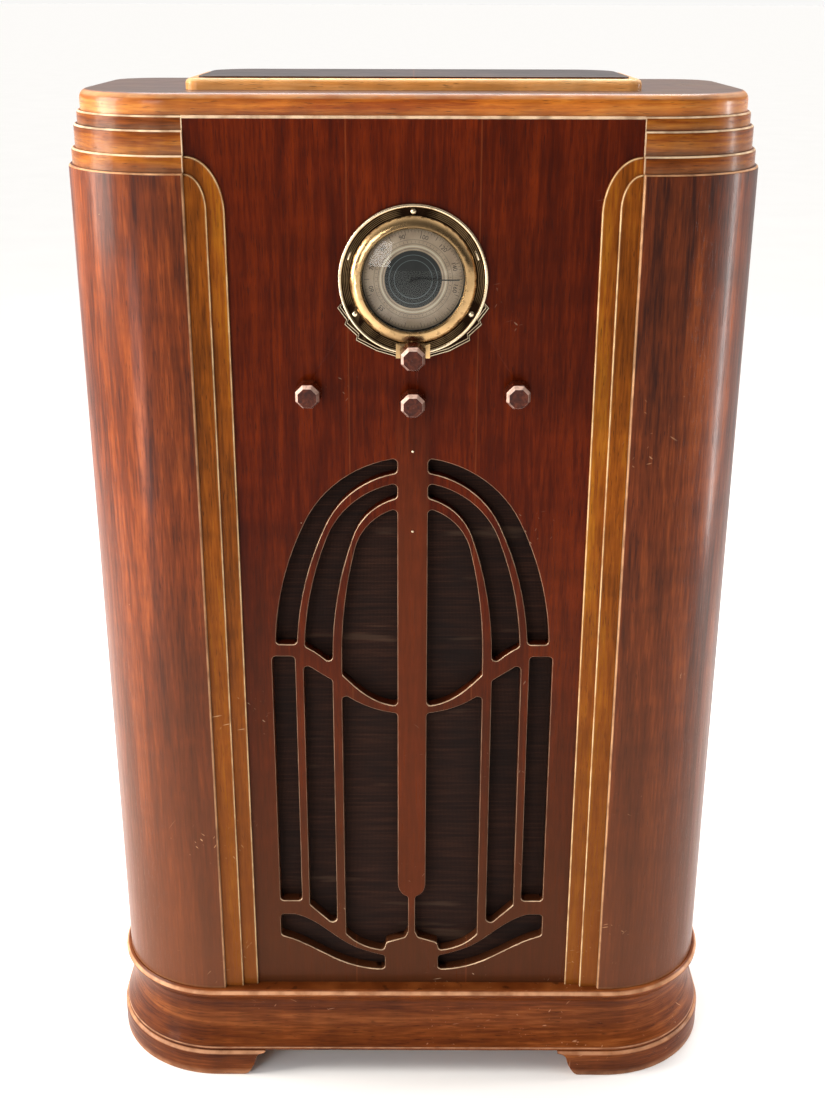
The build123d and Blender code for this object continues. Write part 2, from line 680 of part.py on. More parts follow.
# ------------------------------------------------------------------------------ chassis
chassis = block(-CHASSIS_HALF_W, CHASSIS_HALF_W, CHASSIS_FRONT, CHASSIS_BACK, SHELF_TOP, DECK_Z)
chassis -= block(
    -CHASSIS_HALF_W + SHEET_T,
    CHASSIS_HALF_W - SHEET_T,
    CHASSIS_FRONT + SHEET_T,
    CHASSIS_BACK - SHEET_T,
    SHELF_TOP - 1,
    DECK_Z - SHEET_T,
)
apron_back = CHASSIS_FRONT + SHEET_T
for x, z in knob_places.values():
    chassis -= rod(x, z, BUSH_R + RUNNING_GAP, CHASSIS_FRONT - 1, apron_back + 1)
chassis += rod(0, TUNING_Z, BUSH_R, CHASSIS_FRONT - 8, apron_back + 8)
chassis -= rod(0, TUNING_Z, SHAFT_R + RUNNING_GAP, CHASSIS_FRONT - 9, apron_back + 9)
grommet_z = SHELF_TOP + 30
chassis -= rod(GROMMET_X, grommet_z, GROMMET_R + RUNNING_GAP, CHASSIS_BACK - 5, CHASSIS_BACK + 1)
foot_bolts = [(x, y) for x in (-130.0, 130.0) for y in (CHASSIS_FRONT + 25, CHASSIS_BACK - 25)]
chassis_bolts = []
for x, y in foot_bolts:
    chassis += block(x - 14, x + 14, y - 14, y + 14, SHELF_TOP, SHELF_TOP + SHEET_T)
    side = 1 if x > 0 else -1
    reach = sorted((x, side * (CHASSIS_HALF_W - SHEET_T / 2)))
    chassis += block(reach[0], reach[1], y - 14, y + 14, SHELF_TOP, SHELF_TOP + SHEET_T)
    chassis -= Pos(x, y, SHELF_TOP) * Cylinder(BOLT_R + RUNNING_GAP, 20)
    chassis_bolts.append(
        Pos(x, y, SHELF_TOP + SHEET_T + 1.5) * Cylinder(BOLT_R * 2, 3)
        + Pos(x, y, SHELF_TOP + SHEET_T - 7) * Cylinder(BOLT_R, 14)
    )
save("chassis", chassis)
save("chassis_bolts", *chassis_bolts)
shelf_holes = [Pos(x, y, SHELF_TOP) * Cylinder(BOLT_R + RUNNING_GAP, 30) for x, y in foot_bolts]
save("chassis_shelf", shelf - shelf_holes)

grommet = turned(
    [
        (4, CHASSIS_BACK - 5),
        (GROMMET_R + 2, CHASSIS_BACK - 5),
        (GROMMET_R + 2, CHASSIS_BACK - SHEET_T),
        (GROMMET_R, CHASSIS_BACK - SHEET_T),
        (GROMMET_R, CHASSIS_BACK),
        (GROMMET_R + 2, CHASSIS_BACK),
        (GROMMET_R + 2, CHASSIS_BACK + 3),
        (4, CHASSIS_BACK + 3),
    ],
    GROMMET_X,
    grommet_z,
)
save("cord_grommet", grommet)
strip_x = (TERMINALS_X - 25, TERMINALS_X + 25)
terminals = block(*strip_x, CHASSIS_BACK, CHASSIS_BACK + 3, grommet_z - 8, grommet_z + 8)
for dx in (-14, 14):
    terminals += rod(TERMINALS_X + dx, grommet_z, 3, CHASSIS_BACK + 3, CHASSIS_BACK + 12)
save("aerial_terminals", terminals)


def upright(x, y, radius, height, start=0.0):
    """A round thing that stands on the chassis deck."""
    return Pos(x, y, DECK_Z + start + height / 2) * Cylinder(radius, height)


mains = block(-150, -80, 130, 215, DECK_Z, DECK_Z + 4)
mains += block(-145, -85, 140, 205, DECK_Z + 4, DECK_Z + 74)
mains += block(-132, -98, 134, 211, DECK_Z + 14, DECK_Z + 64)
save("power_transformer", mains)
filter_can = fillet(upright(-115, 90, 18, 95).faces().sort_by(Axis.Z)[-1].edges(), 3)
coil_cans = [block(x - 17, x + 17, 168, 202, DECK_Z, DECK_Z + 90) for x in (40, 120)]
save("chassis_cans", filter_can, *[fillet(can.edges().filter_by(Axis.Z), 4) for can in coil_cans])


def shielded_tube(x, y):
    """A valve under its pressed metal shield, with its top cap."""
    can = upright(x, y, 17, 62)
    can = fillet(can.faces().sort_by(Axis.Z)[-1].edges(), 5)
    return can + upright(x, y, 7, 70) + upright(x, y, 20, 5)


save("shielded_tubes", *[shielded_tube(x, y) for x, y in ((80, 100), (130, 110), (80, 200))])


def glass_tube(x, y, radius, height):
    """The shouldered bulb of a valve, over its base."""
    bulb = upright(x, y, radius, height, 26)
    return fillet(bulb.faces().sort_by(Axis.Z)[-1].edges(), radius * 0.6)


def glass_base(x, y):
    """The moulded base of a valve, in its socket."""
    return upright(x, y, 20, 4) + upright(x, y, 15, 26)


glass_places = ((-50, 190, 19.5, 72), (-5, 205, 19.5, 72), (140, 65, 14, 48))
save("glass_tubes", *[glass_tube(*place) for place in glass_places])
save("tube_bases", *[glass_base(place[0], place[1]) for place in glass_places])

# ------------------------------------------------------------------------------ tuning condenser
gang = block(-GANG_HALF_W, GANG_HALF_W, GANG_FRONT, GANG_BACK, DECK_Z, DECK_Z + 3)
for y in (GANG_FRONT, GANG_BACK - 2.5):
    gang += block(-GANG_HALF_W, GANG_HALF_W, y, y + 2.5, DECK_Z, DIAL_Z + 12)
gang -= rod(0, DIAL_Z, SHAFT_R + RUNNING_GAP, GANG_FRONT - 1, GANG_BACK + 1)
plate_y = [GANG_FRONT + 10 + PLATE_PITCH * k for k in range(PLATE_COUNT)]
stator = block(-GANG_HALF_W, GANG_HALF_W, GANG_FRONT, GANG_BACK, DIAL_Z - 34, DIAL_Z - 31)
half_disc = Circle(STATOR_R) - Circle(9)
half_disc &= Pos(0, -20) * Rectangle(80, 40 - 4)
for y in plate_y:
    stator += slab(Pos(0, DIAL_Z) * half_disc, y + 2.6, y + 3.6)
save("condenser_frame", gang + stator)
rotor = rod(0, DIAL_Z, SHAFT_R, -0.4, GANG_BACK + 6)
rotor_half = Circle(ROTOR_R) & Pos(0, 20) * Rectangle(80, 40)
for y in plate_y:
    rotor += slab(Pos(0, DIAL_Z) * (rotor_half + Circle(6)), y, y + 1)
save("condenser_rotor", rotor)

disc_r = TUNING_DROP * DRIVE_RATIO / (DRIVE_RATIO + 1) - DRIVE_GAP
roller_r = TUNING_DROP / (DRIVE_RATIO + 1) - DRIVE_GAP
disc = rod(0, DIAL_Z, disc_r, DISC_Y, DISC_Y + DISC_T) + rod(0, DIAL_Z, 9, DISC_Y, DISC_Y + 8)
disc -= rod(0, DIAL_Z, SHAFT_R + 0.02, DISC_Y - 1, DISC_Y + 9)
save("drive_disc", disc)
pointer = slab(Pos(0, DIAL_Z) * Circle(5), -0.4, 0.4) + block(
    0, POINTER_LENGTH, -0.2, 0.4, DIAL_Z - 0.5, DIAL_Z + 0.5
)
pointer -= rod(0, DIAL_Z, SHAFT_R + 0.02, -2, 2)
save("dial_pointer", pointer)

# ------------------------------------------------------------------------------ dial bracket and plate
plate_x = BRACKET_HALF_W + 1.5
bracket = block(-plate_x, plate_x, BRACKET_Y, BRACKET_Y + 1.2, TUNING_Z - 20, DIAL_Z + 45)
for sense in (-1, 1):
    inner, outer = sorted((sense * BRACKET_HALF_W, sense * (BRACKET_HALF_W + 1.5)))
    bracket += block(inner, outer, BRACKET_Y, CHASSIS_FRONT, TUNING_Z - 20, DECK_Z - 4)
    inner, outer = sorted((sense * BRACKET_HALF_W, sense * (BRACKET_HALF_W + 10)))
    bracket += block(inner, outer, CHASSIS_FRONT - 1.5, CHASSIS_FRONT, TUNING_Z - 20, DECK_Z - 4)
bracket -= rod(0, DIAL_Z, 12, BRACKET_Y - 1, BRACKET_Y + 3)
bracket -= rod(0, TUNING_Z, 5, BRACKET_Y - 1, BRACKET_Y + 3)
for sx in (-1, 1):
    for sz in (-1, 1):
        x, z = sx * 31, DIAL_Z + sz * 31
        bracket += rod(x, z, 2.5, DIAL_PLATE_Y + DIAL_PLATE_T, BRACKET_Y)
for x in (-LAMP_X, LAMP_X):
    bracket -= rod(x, DIAL_Z + LAMP_RISE, 5.5, BRACKET_Y - 1, BRACKET_Y + 3)
save("dial_bracket", bracket)
save("dial_plate", tube(0, DIAL_Z, DIAL_PLATE_R, SHAFT_R + 1, DIAL_PLATE_Y, DIAL_PLATE_Y + DIAL_PLATE_T))
lamps = [
    rod(x, DIAL_Z + LAMP_RISE, 4.4, 8, 14) + rod(x, DIAL_Z + LAMP_RISE, 5.45, 14, 26)
    for x in (-LAMP_X, LAMP_X)
]
save("dial_lamps", *lamps)

# ------------------------------------------------------------------------------ escutcheon and glass
ring = turned(
    [
        (44.6, -2.0),
        (44.6, -6.2),
        (46.0, -8.0),
        (49.0, -8.0),
        (54.6, -4.0),
        (55.0, -1.8),
        (62.0, -1.8),
        (62.4, -3.2),
        (64.2, -3.2),
        (ESCUTCHEON_R, -2.2),
        (ESCUTCHEON_R, 0.0),
        (GLASS_R + 0.3, 0.0),
        (GLASS_R + 0.3, -2.0),
    ],
    0,
    DIAL_Z,
)
skirt_side = [
    (62.0, -19.5),
    (66.0, -24.0),
    (58.3, -34.5),
    (60.0, -38.5),
    (49.3, -48.5),
    (50.0, -52.5),
    (32.0, -62.0),
    (15.0, -67.0),
]
skirt_outline = make_face(
    Polyline(*(skirt_side + [(-x, z) for x, z in reversed(skirt_side)]), close=True)
)
skirt = slab(Pos(0, DIAL_Z) * (skirt_outline - Circle(62.3)), -2.0, 0)
boss_top = DIAL_Z - ESCUTCHEON_R + 10
boss = block(-15, 15, -BOSS_PROUD, 0, TUNING_Z - 3.5, boss_top)
boss += rod(0, TUNING_Z, 9, -BOSS_PROUD, 0)
escutcheon = ring + skirt + boss
escutcheon -= rod(0, TUNING_Z, SHAFT_R + 0.6, -BOSS_PROUD - 1, 1)
for x, z in screw_places:
    escutcheon -= rod(x, z, SCREW_R + RUNNING_GAP, -5, 1)
save("escutcheon", escutcheon)
screws = []
for x, z in screw_places:
    head = rod(x, z, SCREW_HEAD_R, -3.2, -1.8)
    head = fillet(head.faces().sort_by(Axis.Y)[0].edges(), 1.0)
    screws.append(head + rod(x, z, SCREW_R, -1.8, 8))
save("escutcheon_screws", *screws)

sphere_r = (GLASS_DOME_R**2 + GLASS_SAG**2) / (2 * GLASS_SAG)
sphere_y = GLASS_EDGE_Y - GLASS_SAG + sphere_r
dome = Pos(0, sphere_y, DIAL_Z) * (Sphere(sphere_r) - Sphere(sphere_r - GLASS_T))
dome &= rod(0, DIAL_Z, GLASS_DOME_R, -20, GLASS_EDGE_Y + 1.3)
flange = tube(0, DIAL_Z, GLASS_R, GLASS_DOME_R - 1.5, GLASS_EDGE_Y, GLASS_EDGE_Y + 1.3)
save("dial_glass", dome + flange)
save("glass_ring", tube(0, DIAL_Z, PANEL_DIAL_HOLE_R - 0.5, GLASS_DOME_R - 0.4, 0, 1.6))


# ------------------------------------------------------------------------------ knobs and shafts
def octagon(radius):
    return RegularPolygon(radius, 8, rotation=22.5)


def knob(x, z, back_y_of_knob):
    """An eight-sided moulded knob: it narrows a little, then bevels in to its flat face."""
    front = back_y_of_knob - KNOB_LENGTH
    shoulder = front + KNOB_BEVEL_LENGTH
    place = Pos(x, z)
    base = Plane.XZ.offset(-back_y_of_knob) * (place * octagon(KNOB_R))
    middle = Plane.XZ.offset(-shoulder) * (place * octagon(KNOB_R - KNOB_TAPER))
    face = Plane.XZ.offset(-front) * (place * octagon(KNOB_FACE_R))
    body = loft([base, middle]) + loft([middle, face])
    return body - rod(x, z, SHAFT_R + 0.02, back_y_of_knob - KNOB_BORE_DEPTH, back_y_of_knob + 1)


bush_front = CHASSIS_FRONT - 8
controls = {
    "volume": ("volume_control", 15.0),
    "band": ("band_switch", 19.0),
    "tone": ("tone_control", 15.0),
}
for name, (x, z) in knob_places.items():
    save(f"{name}_knob", knob(x, z, -KNOB_GAP))
    save(f"{name}_shaft", rod(x, z, SHAFT_R, -KNOB_GAP - KNOB_BORE_DEPTH + 0.5, apron_back + 12))
    control_name, radius = controls[name]
    control = rod(x, z, radius, apron_back, apron_back + CONTROL_DEPTH)
    control += rod(x, z, BUSH_R, bush_front, apron_back)
    control += slab(Pos(x, z) * RegularPolygon(7.5, 6), CHASSIS_FRONT - 3, CHASSIS_FRONT)
    control -= rod(x, z, SHAFT_R + RUNNING_GAP, bush_front - 1, apron_back + 13)
    save(control_name, control)

tuning_knob_back = -BOSS_PROUD - TUNING_KNOB_GAP
save("tuning_knob", knob(0, TUNING_Z, tuning_knob_back))
tuning_shaft = rod(0, TUNING_Z, SHAFT_R, tuning_knob_back - KNOB_BORE_DEPTH + 0.5, apron_back + 10)
tuning_shaft += rod(0, TUNING_Z, roller_r, DISC_Y - 2, DISC_Y + DISC_T + 2)
save("tuning_shaft", tuning_shaft)
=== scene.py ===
import math

import bmesh
import bpy
from mathutils import Euler, Matrix, Vector


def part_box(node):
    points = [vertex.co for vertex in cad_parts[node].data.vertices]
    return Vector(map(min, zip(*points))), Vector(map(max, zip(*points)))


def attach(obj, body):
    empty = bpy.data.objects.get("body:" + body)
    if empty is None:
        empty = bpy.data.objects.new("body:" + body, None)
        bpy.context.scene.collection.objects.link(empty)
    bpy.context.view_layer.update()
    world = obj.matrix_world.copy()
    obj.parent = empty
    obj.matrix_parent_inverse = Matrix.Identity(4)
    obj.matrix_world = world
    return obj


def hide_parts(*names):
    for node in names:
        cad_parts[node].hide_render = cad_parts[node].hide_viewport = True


# A floor-standing console radio, put together from the floor up: plinth and feet, cabinet walls,
# cornice and top, front panel with its grille, dial and knobs, then the works behind them.
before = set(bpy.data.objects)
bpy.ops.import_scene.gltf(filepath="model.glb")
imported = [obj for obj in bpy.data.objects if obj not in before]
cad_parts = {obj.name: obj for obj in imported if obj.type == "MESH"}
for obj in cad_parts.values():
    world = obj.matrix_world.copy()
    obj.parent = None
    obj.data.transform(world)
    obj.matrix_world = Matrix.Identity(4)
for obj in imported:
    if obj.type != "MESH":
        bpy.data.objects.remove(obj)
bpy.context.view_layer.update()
MM = 0.001

# ------------------------------------------------------------------------------ plinth
# The plinth is solid walnut, run through a moulding cutter in straight lengths and turned
# corners: a lip at the foot, a hollow waist and a half-round bead under the cabinet.
# It was stained, sprayed with nitrocellulose lacquer, and has been kicked and rubbed since.
panel_low, panel_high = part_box("front_panel")
post_low, post_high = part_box("right_corner_post")
side_low, side_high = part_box("side_panels")
rear_low, rear_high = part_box("rear_posts")
face_y = panel_low.y
front_y = post_low.y
back_y = rear_high.y
half_width = side_high.x
corner_r = side_low.y - front_y
rear_r = back_y - rear_low.y
corner_x, corner_y = half_width - corner_r, side_low.y
rear_x, rear_y = half_width - rear_r, rear_low.y
foot_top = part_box("front_feet")[1].z
plinth_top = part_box("plinth_front")[1].z
PLINTH_INNER = -24 * MM
BEND_STEPS = 28


def linear(hex_colour):
    """An sRGB hex colour as the linear colour that a shader socket takes."""
    parts = [int(hex_colour[i : i + 2], 16) / 255 for i in (1, 3, 5)]
    curve = [c / 12.92 if c <= 0.04045 else ((c + 0.055) / 1.055) ** 2.4 for c in parts]
    return (*curve, 1.0)


def add(tree, kind, inputs=(), stops=(), **settings):
    """Adds a node to tree. settings are its own fields, and stops are a colour ramp's places and
    colours. inputs are plain values, or the nodes or sockets to link from, listed in the order of
    the new node's sockets or keyed by their names. A node gives the first of its outputs."""
    made = tree.nodes.new(kind if "Node" in kind else "ShaderNode" + kind)
    for name, value in settings.items():
        setattr(made, name, value)
    live = [socket for socket in made.inputs if socket.enabled]
    for key, value in inputs.items() if isinstance(inputs, dict) else enumerate(inputs):
        socket = live[key] if isinstance(key, int) else next(s for s in live if s.name == key)
        if isinstance(value, bpy.types.Node):
            value = next(output for output in value.outputs if output.enabled)
        if isinstance(value, bpy.types.NodeSocket):
            tree.links.new(value, socket)
        else:
            socket.default_value = value
    if stops:
        elements = made.color_ramp.elements
        while len(elements) < len(stops):
            elements.new(0.5)
        for element, (position, colour) in zip(elements, stops):
            element.position, element.color = position, linear(colour)
    return made


def new_material(name):
    """An empty material with its output node, and its shader tree."""
    material = bpy.data.materials.new(name)
    material.use_nodes = True
    material.node_tree.nodes.clear()
    return material, material.node_tree


# How old lacquer on walnut is marked: long hair scratches at three slants, and chips to the wood.
SCRATCH_SLANTS = ((0.3, 0.5, 0.2), (-0.2, -0.9, 0.6), (0.1, 1.35, 0.0))
SCRATCH_LENGTHS = 24
CHIP_SHARE, SCRATCH_SHARE = 0.8, 0.5


def lacquered_walnut(
    name, grain, dark, mid, light, worn_and_highlit="#D8A274", foot_tint=None, seams=(), painted_highlight_line_z=None,
    painted_top_shade=False, centre_leaf=None, figure_share=0.62, marks=1.0, rough=0.3, shine=0.6,
):
    """Stained walnut under old sprayed nitrocellulose lacquer. grain is "up" or "round".
    The eye sees broad figure 30 mm wide, fine streaks of 2.6 mm and open pores, a warm gloss with
    pale edges, partly rubbed and partly a painted highlight, and scratches and small chips, more of
    them near the floor. The pores are drawn 0.8 mm wide, coarser than the real ones, so that they
    show. foot_tint is the colour the wood goes towards low down; seams are where leaves of veneer
    meet; centre_leaf is half a leaf's width. Painted shade can darken the faces of a top that face
    up, and a thin painted highlight line can run just under a given height."""
    material, tree = new_material(name)
    place = add(tree, "TexCoord").outputs["Object"]
    stretch = (1, 1, 0.07) if grain == "up" else (0.07, 0.07, 1)
    along = add(tree, "Mapping", {"Vector": place, "Scale": stretch})
    figure = add(
        tree, "TexNoise", {"Vector": along, "Scale": 1 / (30 * MM), "Detail": 3, "Distortion": 1.2}
    )
    streaks = add(
        tree, "TexNoise", {"Vector": along, "Scale": 1 / (2.6 * MM), "Detail": 2, "Roughness": 0.6}
    )
    pores = add(tree, "TexNoise", {"Vector": along, "Scale": 1 / (0.8 * MM), "Detail": 1})
    cloud = add(tree, "TexNoise", {"Vector": place, "Scale": 1 / (200 * MM), "Detail": 3})
    tone = add(tree, "Math", [figure, figure_share], operation="MULTIPLY")
    fine = add(tree, "Math", [streaks, 1 - figure_share], operation="MULTIPLY")
    tone = add(tree, "Math", [tone, fine], operation="ADD")
    colour = add(tree, "ValToRGB", [tone], stops=[(0.34, dark), (0.5, mid), (0.66, light)])
    curl_stretch = (0.35, 0.35, 1) if grain == "up" else (1, 1, 0.35)
    curl_place = add(tree, "Mapping", {"Vector": place, "Scale": curl_stretch})
    curl = add(tree, "TexNoise", {"Vector": curl_place, "Scale": 1 / (22 * MM), "Detail": 2})
    clouded = add(tree, "MapRange", [cloud, 0.3, 0.7, 0.55, 1.0])
    curled = add(tree, "MapRange", [curl, 0.35, 0.65, -0.12, 0.12])
    clouded = add(tree, "Math", [clouded, curled], operation="ADD")
    shade = add(tree, "CombineColor", {0: clouded, 1: clouded, 2: clouded})
    colour = add(tree, "Mix", [0.75, colour, shade], data_type="RGBA", blend_type="MULTIPLY")
    pore_mask = add(tree, "MapRange", [pores, 0.36, 0.27])
    pore_shade = add(tree, "Math", [pore_mask, 0.55], operation="MULTIPLY")
    colour = add(tree, "Mix", [pore_shade, colour, linear("#1E0A04")], data_type="RGBA")
    across, _, height = add(tree, "SeparateXYZ", {0: place}).outputs
    if centre_leaf:
        off_middle = add(tree, "Math", [across], operation="ABSOLUTE")
        in_leaf = add(tree, "MapRange", [off_middle, centre_leaf + 2 * MM, centre_leaf])
        below = add(tree, "MapRange", [height, 0.74, 0.60, 0.0, 0.7])
        above_foot = add(tree, "MapRange", [height, 0.165, 0.20])
        below = add(tree, "Math", [below, above_foot], operation="MULTIPLY")
        leaf_tone = add(tree, "Mix", [0.5, colour, linear("#6E361C")], data_type="RGBA")
        leaf_part = add(tree, "Math", [in_leaf, below], operation="MULTIPLY")
    if foot_tint:
        low_part = add(tree, "MapRange", [height, 0.62, 0.15, 0.0, 0.75])
        colour = add(tree, "Mix", [low_part, colour, linear(foot_tint)], data_type="RGBA")
    if centre_leaf:
        colour = add(tree, "Mix", [leaf_part, colour, leaf_tone], data_type="RGBA")
    for seam_x in seams:
        gap = add(tree, "Math", [across, seam_x], operation="SUBTRACT")
        gap = add(tree, "Math", [gap], operation="ABSOLUTE")
        line = add(tree, "MapRange", [gap, 0.9 * MM, 0.3 * MM, 0.0, 0.16])
        colour = add(tree, "Mix", [line, colour, linear("#A4562C")], data_type="RGBA")
    patch = add(tree, "TexNoise", {"Vector": place, "Scale": 1 / (111 * MM), "Detail": 2})
    lowness = add(tree, "MapRange", [height, 0.75, 0.1, 0.0, 0.07])
    knocked = add(tree, "Math", [patch, lowness], operation="ADD")
    scratched = add(tree, "MapRange", [knocked, 0.62, 0.70])
    scratch = 0.0
    for slant in SCRATCH_SLANTS:
        sockets = {"Vector": place, "Rotation": slant, "Scale": (1, 1, SCRATCH_LENGTHS)}
        lay = add(tree, "Mapping", sockets, vector_type="TEXTURE")
        hair = add(tree, "TexNoise", {"Vector": lay, "Scale": 1 / (1.8 * MM), "Detail": 0})
        thin_line = add(tree, "MapRange", [hair, 0.815, 0.89])
        scratch = add(tree, "Math", [thin_line, scratch], operation="MAXIMUM")
    scratch = add(tree, "Math", [scratch, scratched], operation="MULTIPLY")
    chips = add(tree, "TexVoronoi", {"Vector": place, "Scale": 1 / (33.3 * MM)})
    chip_draw = add(tree, "SeparateColor", [chips.outputs["Color"]])
    chip_size = add(tree, "MapRange", [chip_draw, 0.80, 1.0, 0.0, 0.03])
    chip = add(tree, "Math", [chips.outputs["Distance"], chip_size], operation="LESS_THAN")
    chip = add(tree, "Math", [chip, CHIP_SHARE], operation="MULTIPLY")
    marked = add(tree, "Math", [scratch, chip], operation="MAXIMUM")
    marked = add(tree, "Math", [marked, SCRATCH_SHARE * marks], operation="MULTIPLY")
    # Pale edges: the attribute read here marks lacquer rubbed through, and painted highlights along
    # rounded edges.
    edge_wear_and_highlight = add(tree, "Attribute", attribute_name="wear_and_highlight").outputs["Fac"]
    # Painted shade: the faces of the top that face up are darkened.
    if painted_top_shade:
        painted_top_shade_amount = add(tree, "Attribute", attribute_name="painted_shade_on_top").outputs["Fac"]
        painted_top_shade_amount = add(tree, "Math", [painted_top_shade_amount, 0.85], operation="MULTIPLY")
        colour = add(tree, "Mix", [painted_top_shade_amount, colour, linear("#2E1C18")], data_type="RGBA")
    # Painted highlight: a thin pale line just under the given height, where the ledge under the top
    # catches the light.
    if painted_highlight_line_z:
        painted_top_highlight = add(tree, "MapRange", [height, painted_highlight_line_z - 2.6 * MM, painted_highlight_line_z - 2.0 * MM])
        edge_wear_and_highlight = add(tree, "Math", [edge_wear_and_highlight, painted_top_highlight], operation="MAXIMUM")
    rub_and_highlight_noise = add(tree, "TexNoise", {"Vector": place, "Scale": 1 / (16.7 * MM), "Detail": 3})
    rub_and_highlight_noise = add(tree, "MapRange", [rub_and_highlight_noise, 0.36, 0.6, 0.45, 0.95])
    rubbed_and_highlit = add(tree, "Math", [edge_wear_and_highlight, rub_and_highlight_noise], operation="MULTIPLY")
    bared_and_highlit = add(tree, "Math", [rubbed_and_highlit, marked], operation="MAXIMUM")
    colour = add(tree, "Mix", [bared_and_highlit, colour, linear(worn_and_highlit)], data_type="RGBA")
    gloss = add(tree, "MapRange", [tone, 0.3, 0.7, rough + 0.08, rough - 0.06])
    dulling = add(tree, "Math", [marked, 0.4], operation="MULTIPLY")
    gloss = add(tree, "Math", [gloss, dulling], operation="ADD")
    relief = add(tree, "Math", [streaks, 0.35], operation="MULTIPLY")
    relief = add(tree, "Math", [relief, pore_mask], operation="SUBTRACT")
    mark_depth = add(tree, "Math", [marked, 1.5], operation="MULTIPLY")
    relief = add(tree, "Math", [relief, mark_depth], operation="SUBTRACT")
    bump = add(tree, "Bump", {"Height": relief, "Strength": 0.35, "Distance": 0.25 * MM})
    shader = add(
        tree, "BsdfPrincipled",
        {
            "Base Color": colour, "Roughness": gloss, "Normal": bump, "IOR": 1.5,
            "Specular IOR Level": 0.2 * shine, "Coat Weight": 0.14 * shine, "Coat Roughness": 0.12,
        },
    )
    add(tree, "OutputMaterial", {"Surface": shader})
    return material


def run_of(parts, x_start=0.0, arris=0.0):
    """Stations along the outside of the right half: (x, y, outward x, outward y, pull, lift).
    parts are any of front, bend, side and rear, in order. pull draws the outer face in, to round
    the first edge by arris; lift raises the underside."""
    made = []
    if "front" in parts:
        for k in range(5 if arris else 1):
            turn = math.radians(22.5 * k)
            made.append(
                (x_start + arris * (1 - math.cos(turn)), front_y, 0, -1, arris * (1 - math.sin(turn)), 0)
            )
    if "bend" in parts:
        for k in range(BEND_STEPS + 1):
            turn = math.radians(90 * k / BEND_STEPS)
            across, ahead = math.sin(turn), math.cos(turn)
            made.append((corner_x + corner_r * across, corner_y - corner_r * ahead, across, -ahead, 0, 0))
    if "side" in parts:
        if "bend" not in parts:
            made.append((half_width, corner_y, 1, 0, 0, 0))
        if "rear" not in parts:
            made.append((half_width, rear_y, 1, 0, 0, 0))
    if "rear" in parts:
        for k in range(BEND_STEPS + 1):
            turn = math.radians(90 * k / BEND_STEPS)
            across, behind = math.cos(turn), math.sin(turn)
            made.append((rear_x + rear_r * across, rear_y + rear_r * behind, across, behind, 0, 0))
    return made


def skin(bm, rings, closed=False):
    """Quads between a run of equal rings of vertices, with a face over each end."""
    count = len(rings[0])
    pairs = list(zip(rings, rings[1:])) + ([(rings[-1], rings[0])] if closed else [])
    for ring, following in pairs:
        for i in range(count):
            j = (i + 1) % count
            bm.faces.new((ring[i], ring[j], following[j], following[i]))
    if not closed:
        bm.faces.new(rings[0])
        bm.faces.new(rings[-1])


def finish(name, bm, materials, nodes=(), body="cabinet", sharp=32, weighted=True):
    """Turns bmesh data into a piece: doubles merged, faces out, smooth but for its sharp edges."""
    bmesh.ops.remove_doubles(bm, verts=bm.verts, dist=0.004 * MM)
    bmesh.ops.recalc_face_normals(bm, faces=bm.faces)
    mesh = bpy.data.meshes.new(name)
    bm.to_mesh(mesh)
    bm.free()
    mesh.shade_smooth()
    mesh.set_sharp_from_angle(angle=math.radians(sharp))
    for material in materials:
        mesh.materials.append(material)
    piece = bpy.data.objects.new(name, mesh)
    bpy.context.scene.collection.objects.link(piece)
    if weighted:
        piece.modifiers.new("flat_faces_stay_flat", "WEIGHTED_NORMAL").keep_sharp = True
    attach(piece, body)
    if nodes:
        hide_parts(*nodes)
    return piece


def moulding(name, runs, section, material, nodes, sides=(1, -1)):
    """Carries a section of (outwards, height, wear and painted highlight) points along each run of
    stations, on both sides of the cabinet."""
    bm = bmesh.new()
    wear_and_highlight = bm.verts.layers.float.new("wear_and_highlight")
    for stations, sense in ((run, sense) for run in runs for sense in sides):
        rings = []
        for x, y, nx, ny, pull, lift in stations:
            ring = []
            for out, z, worn_and_highlit in section:
                # A pulled-in front arris is drawn pale: partly worn and partly a painted highlight.
                if pull > 0:
                    out, worn_and_highlit = min(out, -pull), max(worn_and_highlit, 0.8)
                vertex = bm.verts.new((sense * (x + nx * out), y + ny * out, max(z, lift)))
                vertex[wear_and_highlight] = worn_and_highlit
                ring.append(vertex)
            rings.append(ring)
        skin(bm, rings)
    return finish(name, bm, [material], nodes)


def curve_through(points, count):
    """A smooth line through a few points, as count points for each span."""
    ends = [points[0]] + list(points) + [points[-1]]
    made = []
    for a, b, c, d in zip(ends, ends[1:], ends[2:], ends[3:]):
        for k in range(count):
            t = k / count
            made.append(
                tuple(
                    0.5 * (
                        2 * q + (r - p) * t + (
                            2 * p - 5 * q + 4 * r - s
                        ) * t * t + (3 * q - p - 3 * r + s) * t ** 3
                    )
                    for p, q, r, s in zip(a, b, c, d)
                )
            )
    return made + [tuple(points[-1])]


def quarter_round(out, z, radius, steps=6, worn_and_highlit=1.0):
    """The rounded upper edge of a face whose outside is at out and whose top is at z. Its middle third
    is drawn pale, partly as wear and partly as a painted highlight.
    """
    made = []
    for k in range(steps + 1):
        turn = math.radians(90 * k / steps)
        rubbed_and_highlit = worn_and_highlit if abs(k - steps / 2) <= steps / 5 else 0.0
        made.append((out - radius * (1 - math.cos(turn)), z - radius * (1 - math.sin(turn)), rubbed_and_highlit))
    return made


# How far the lip and bead stand out from the cabinet's side, how far the waist goes in, and the
# bead's height.
lip, waist, bead, bead_h = 8 * MM, 5 * MM, 5.5 * MM, 10.5 * MM
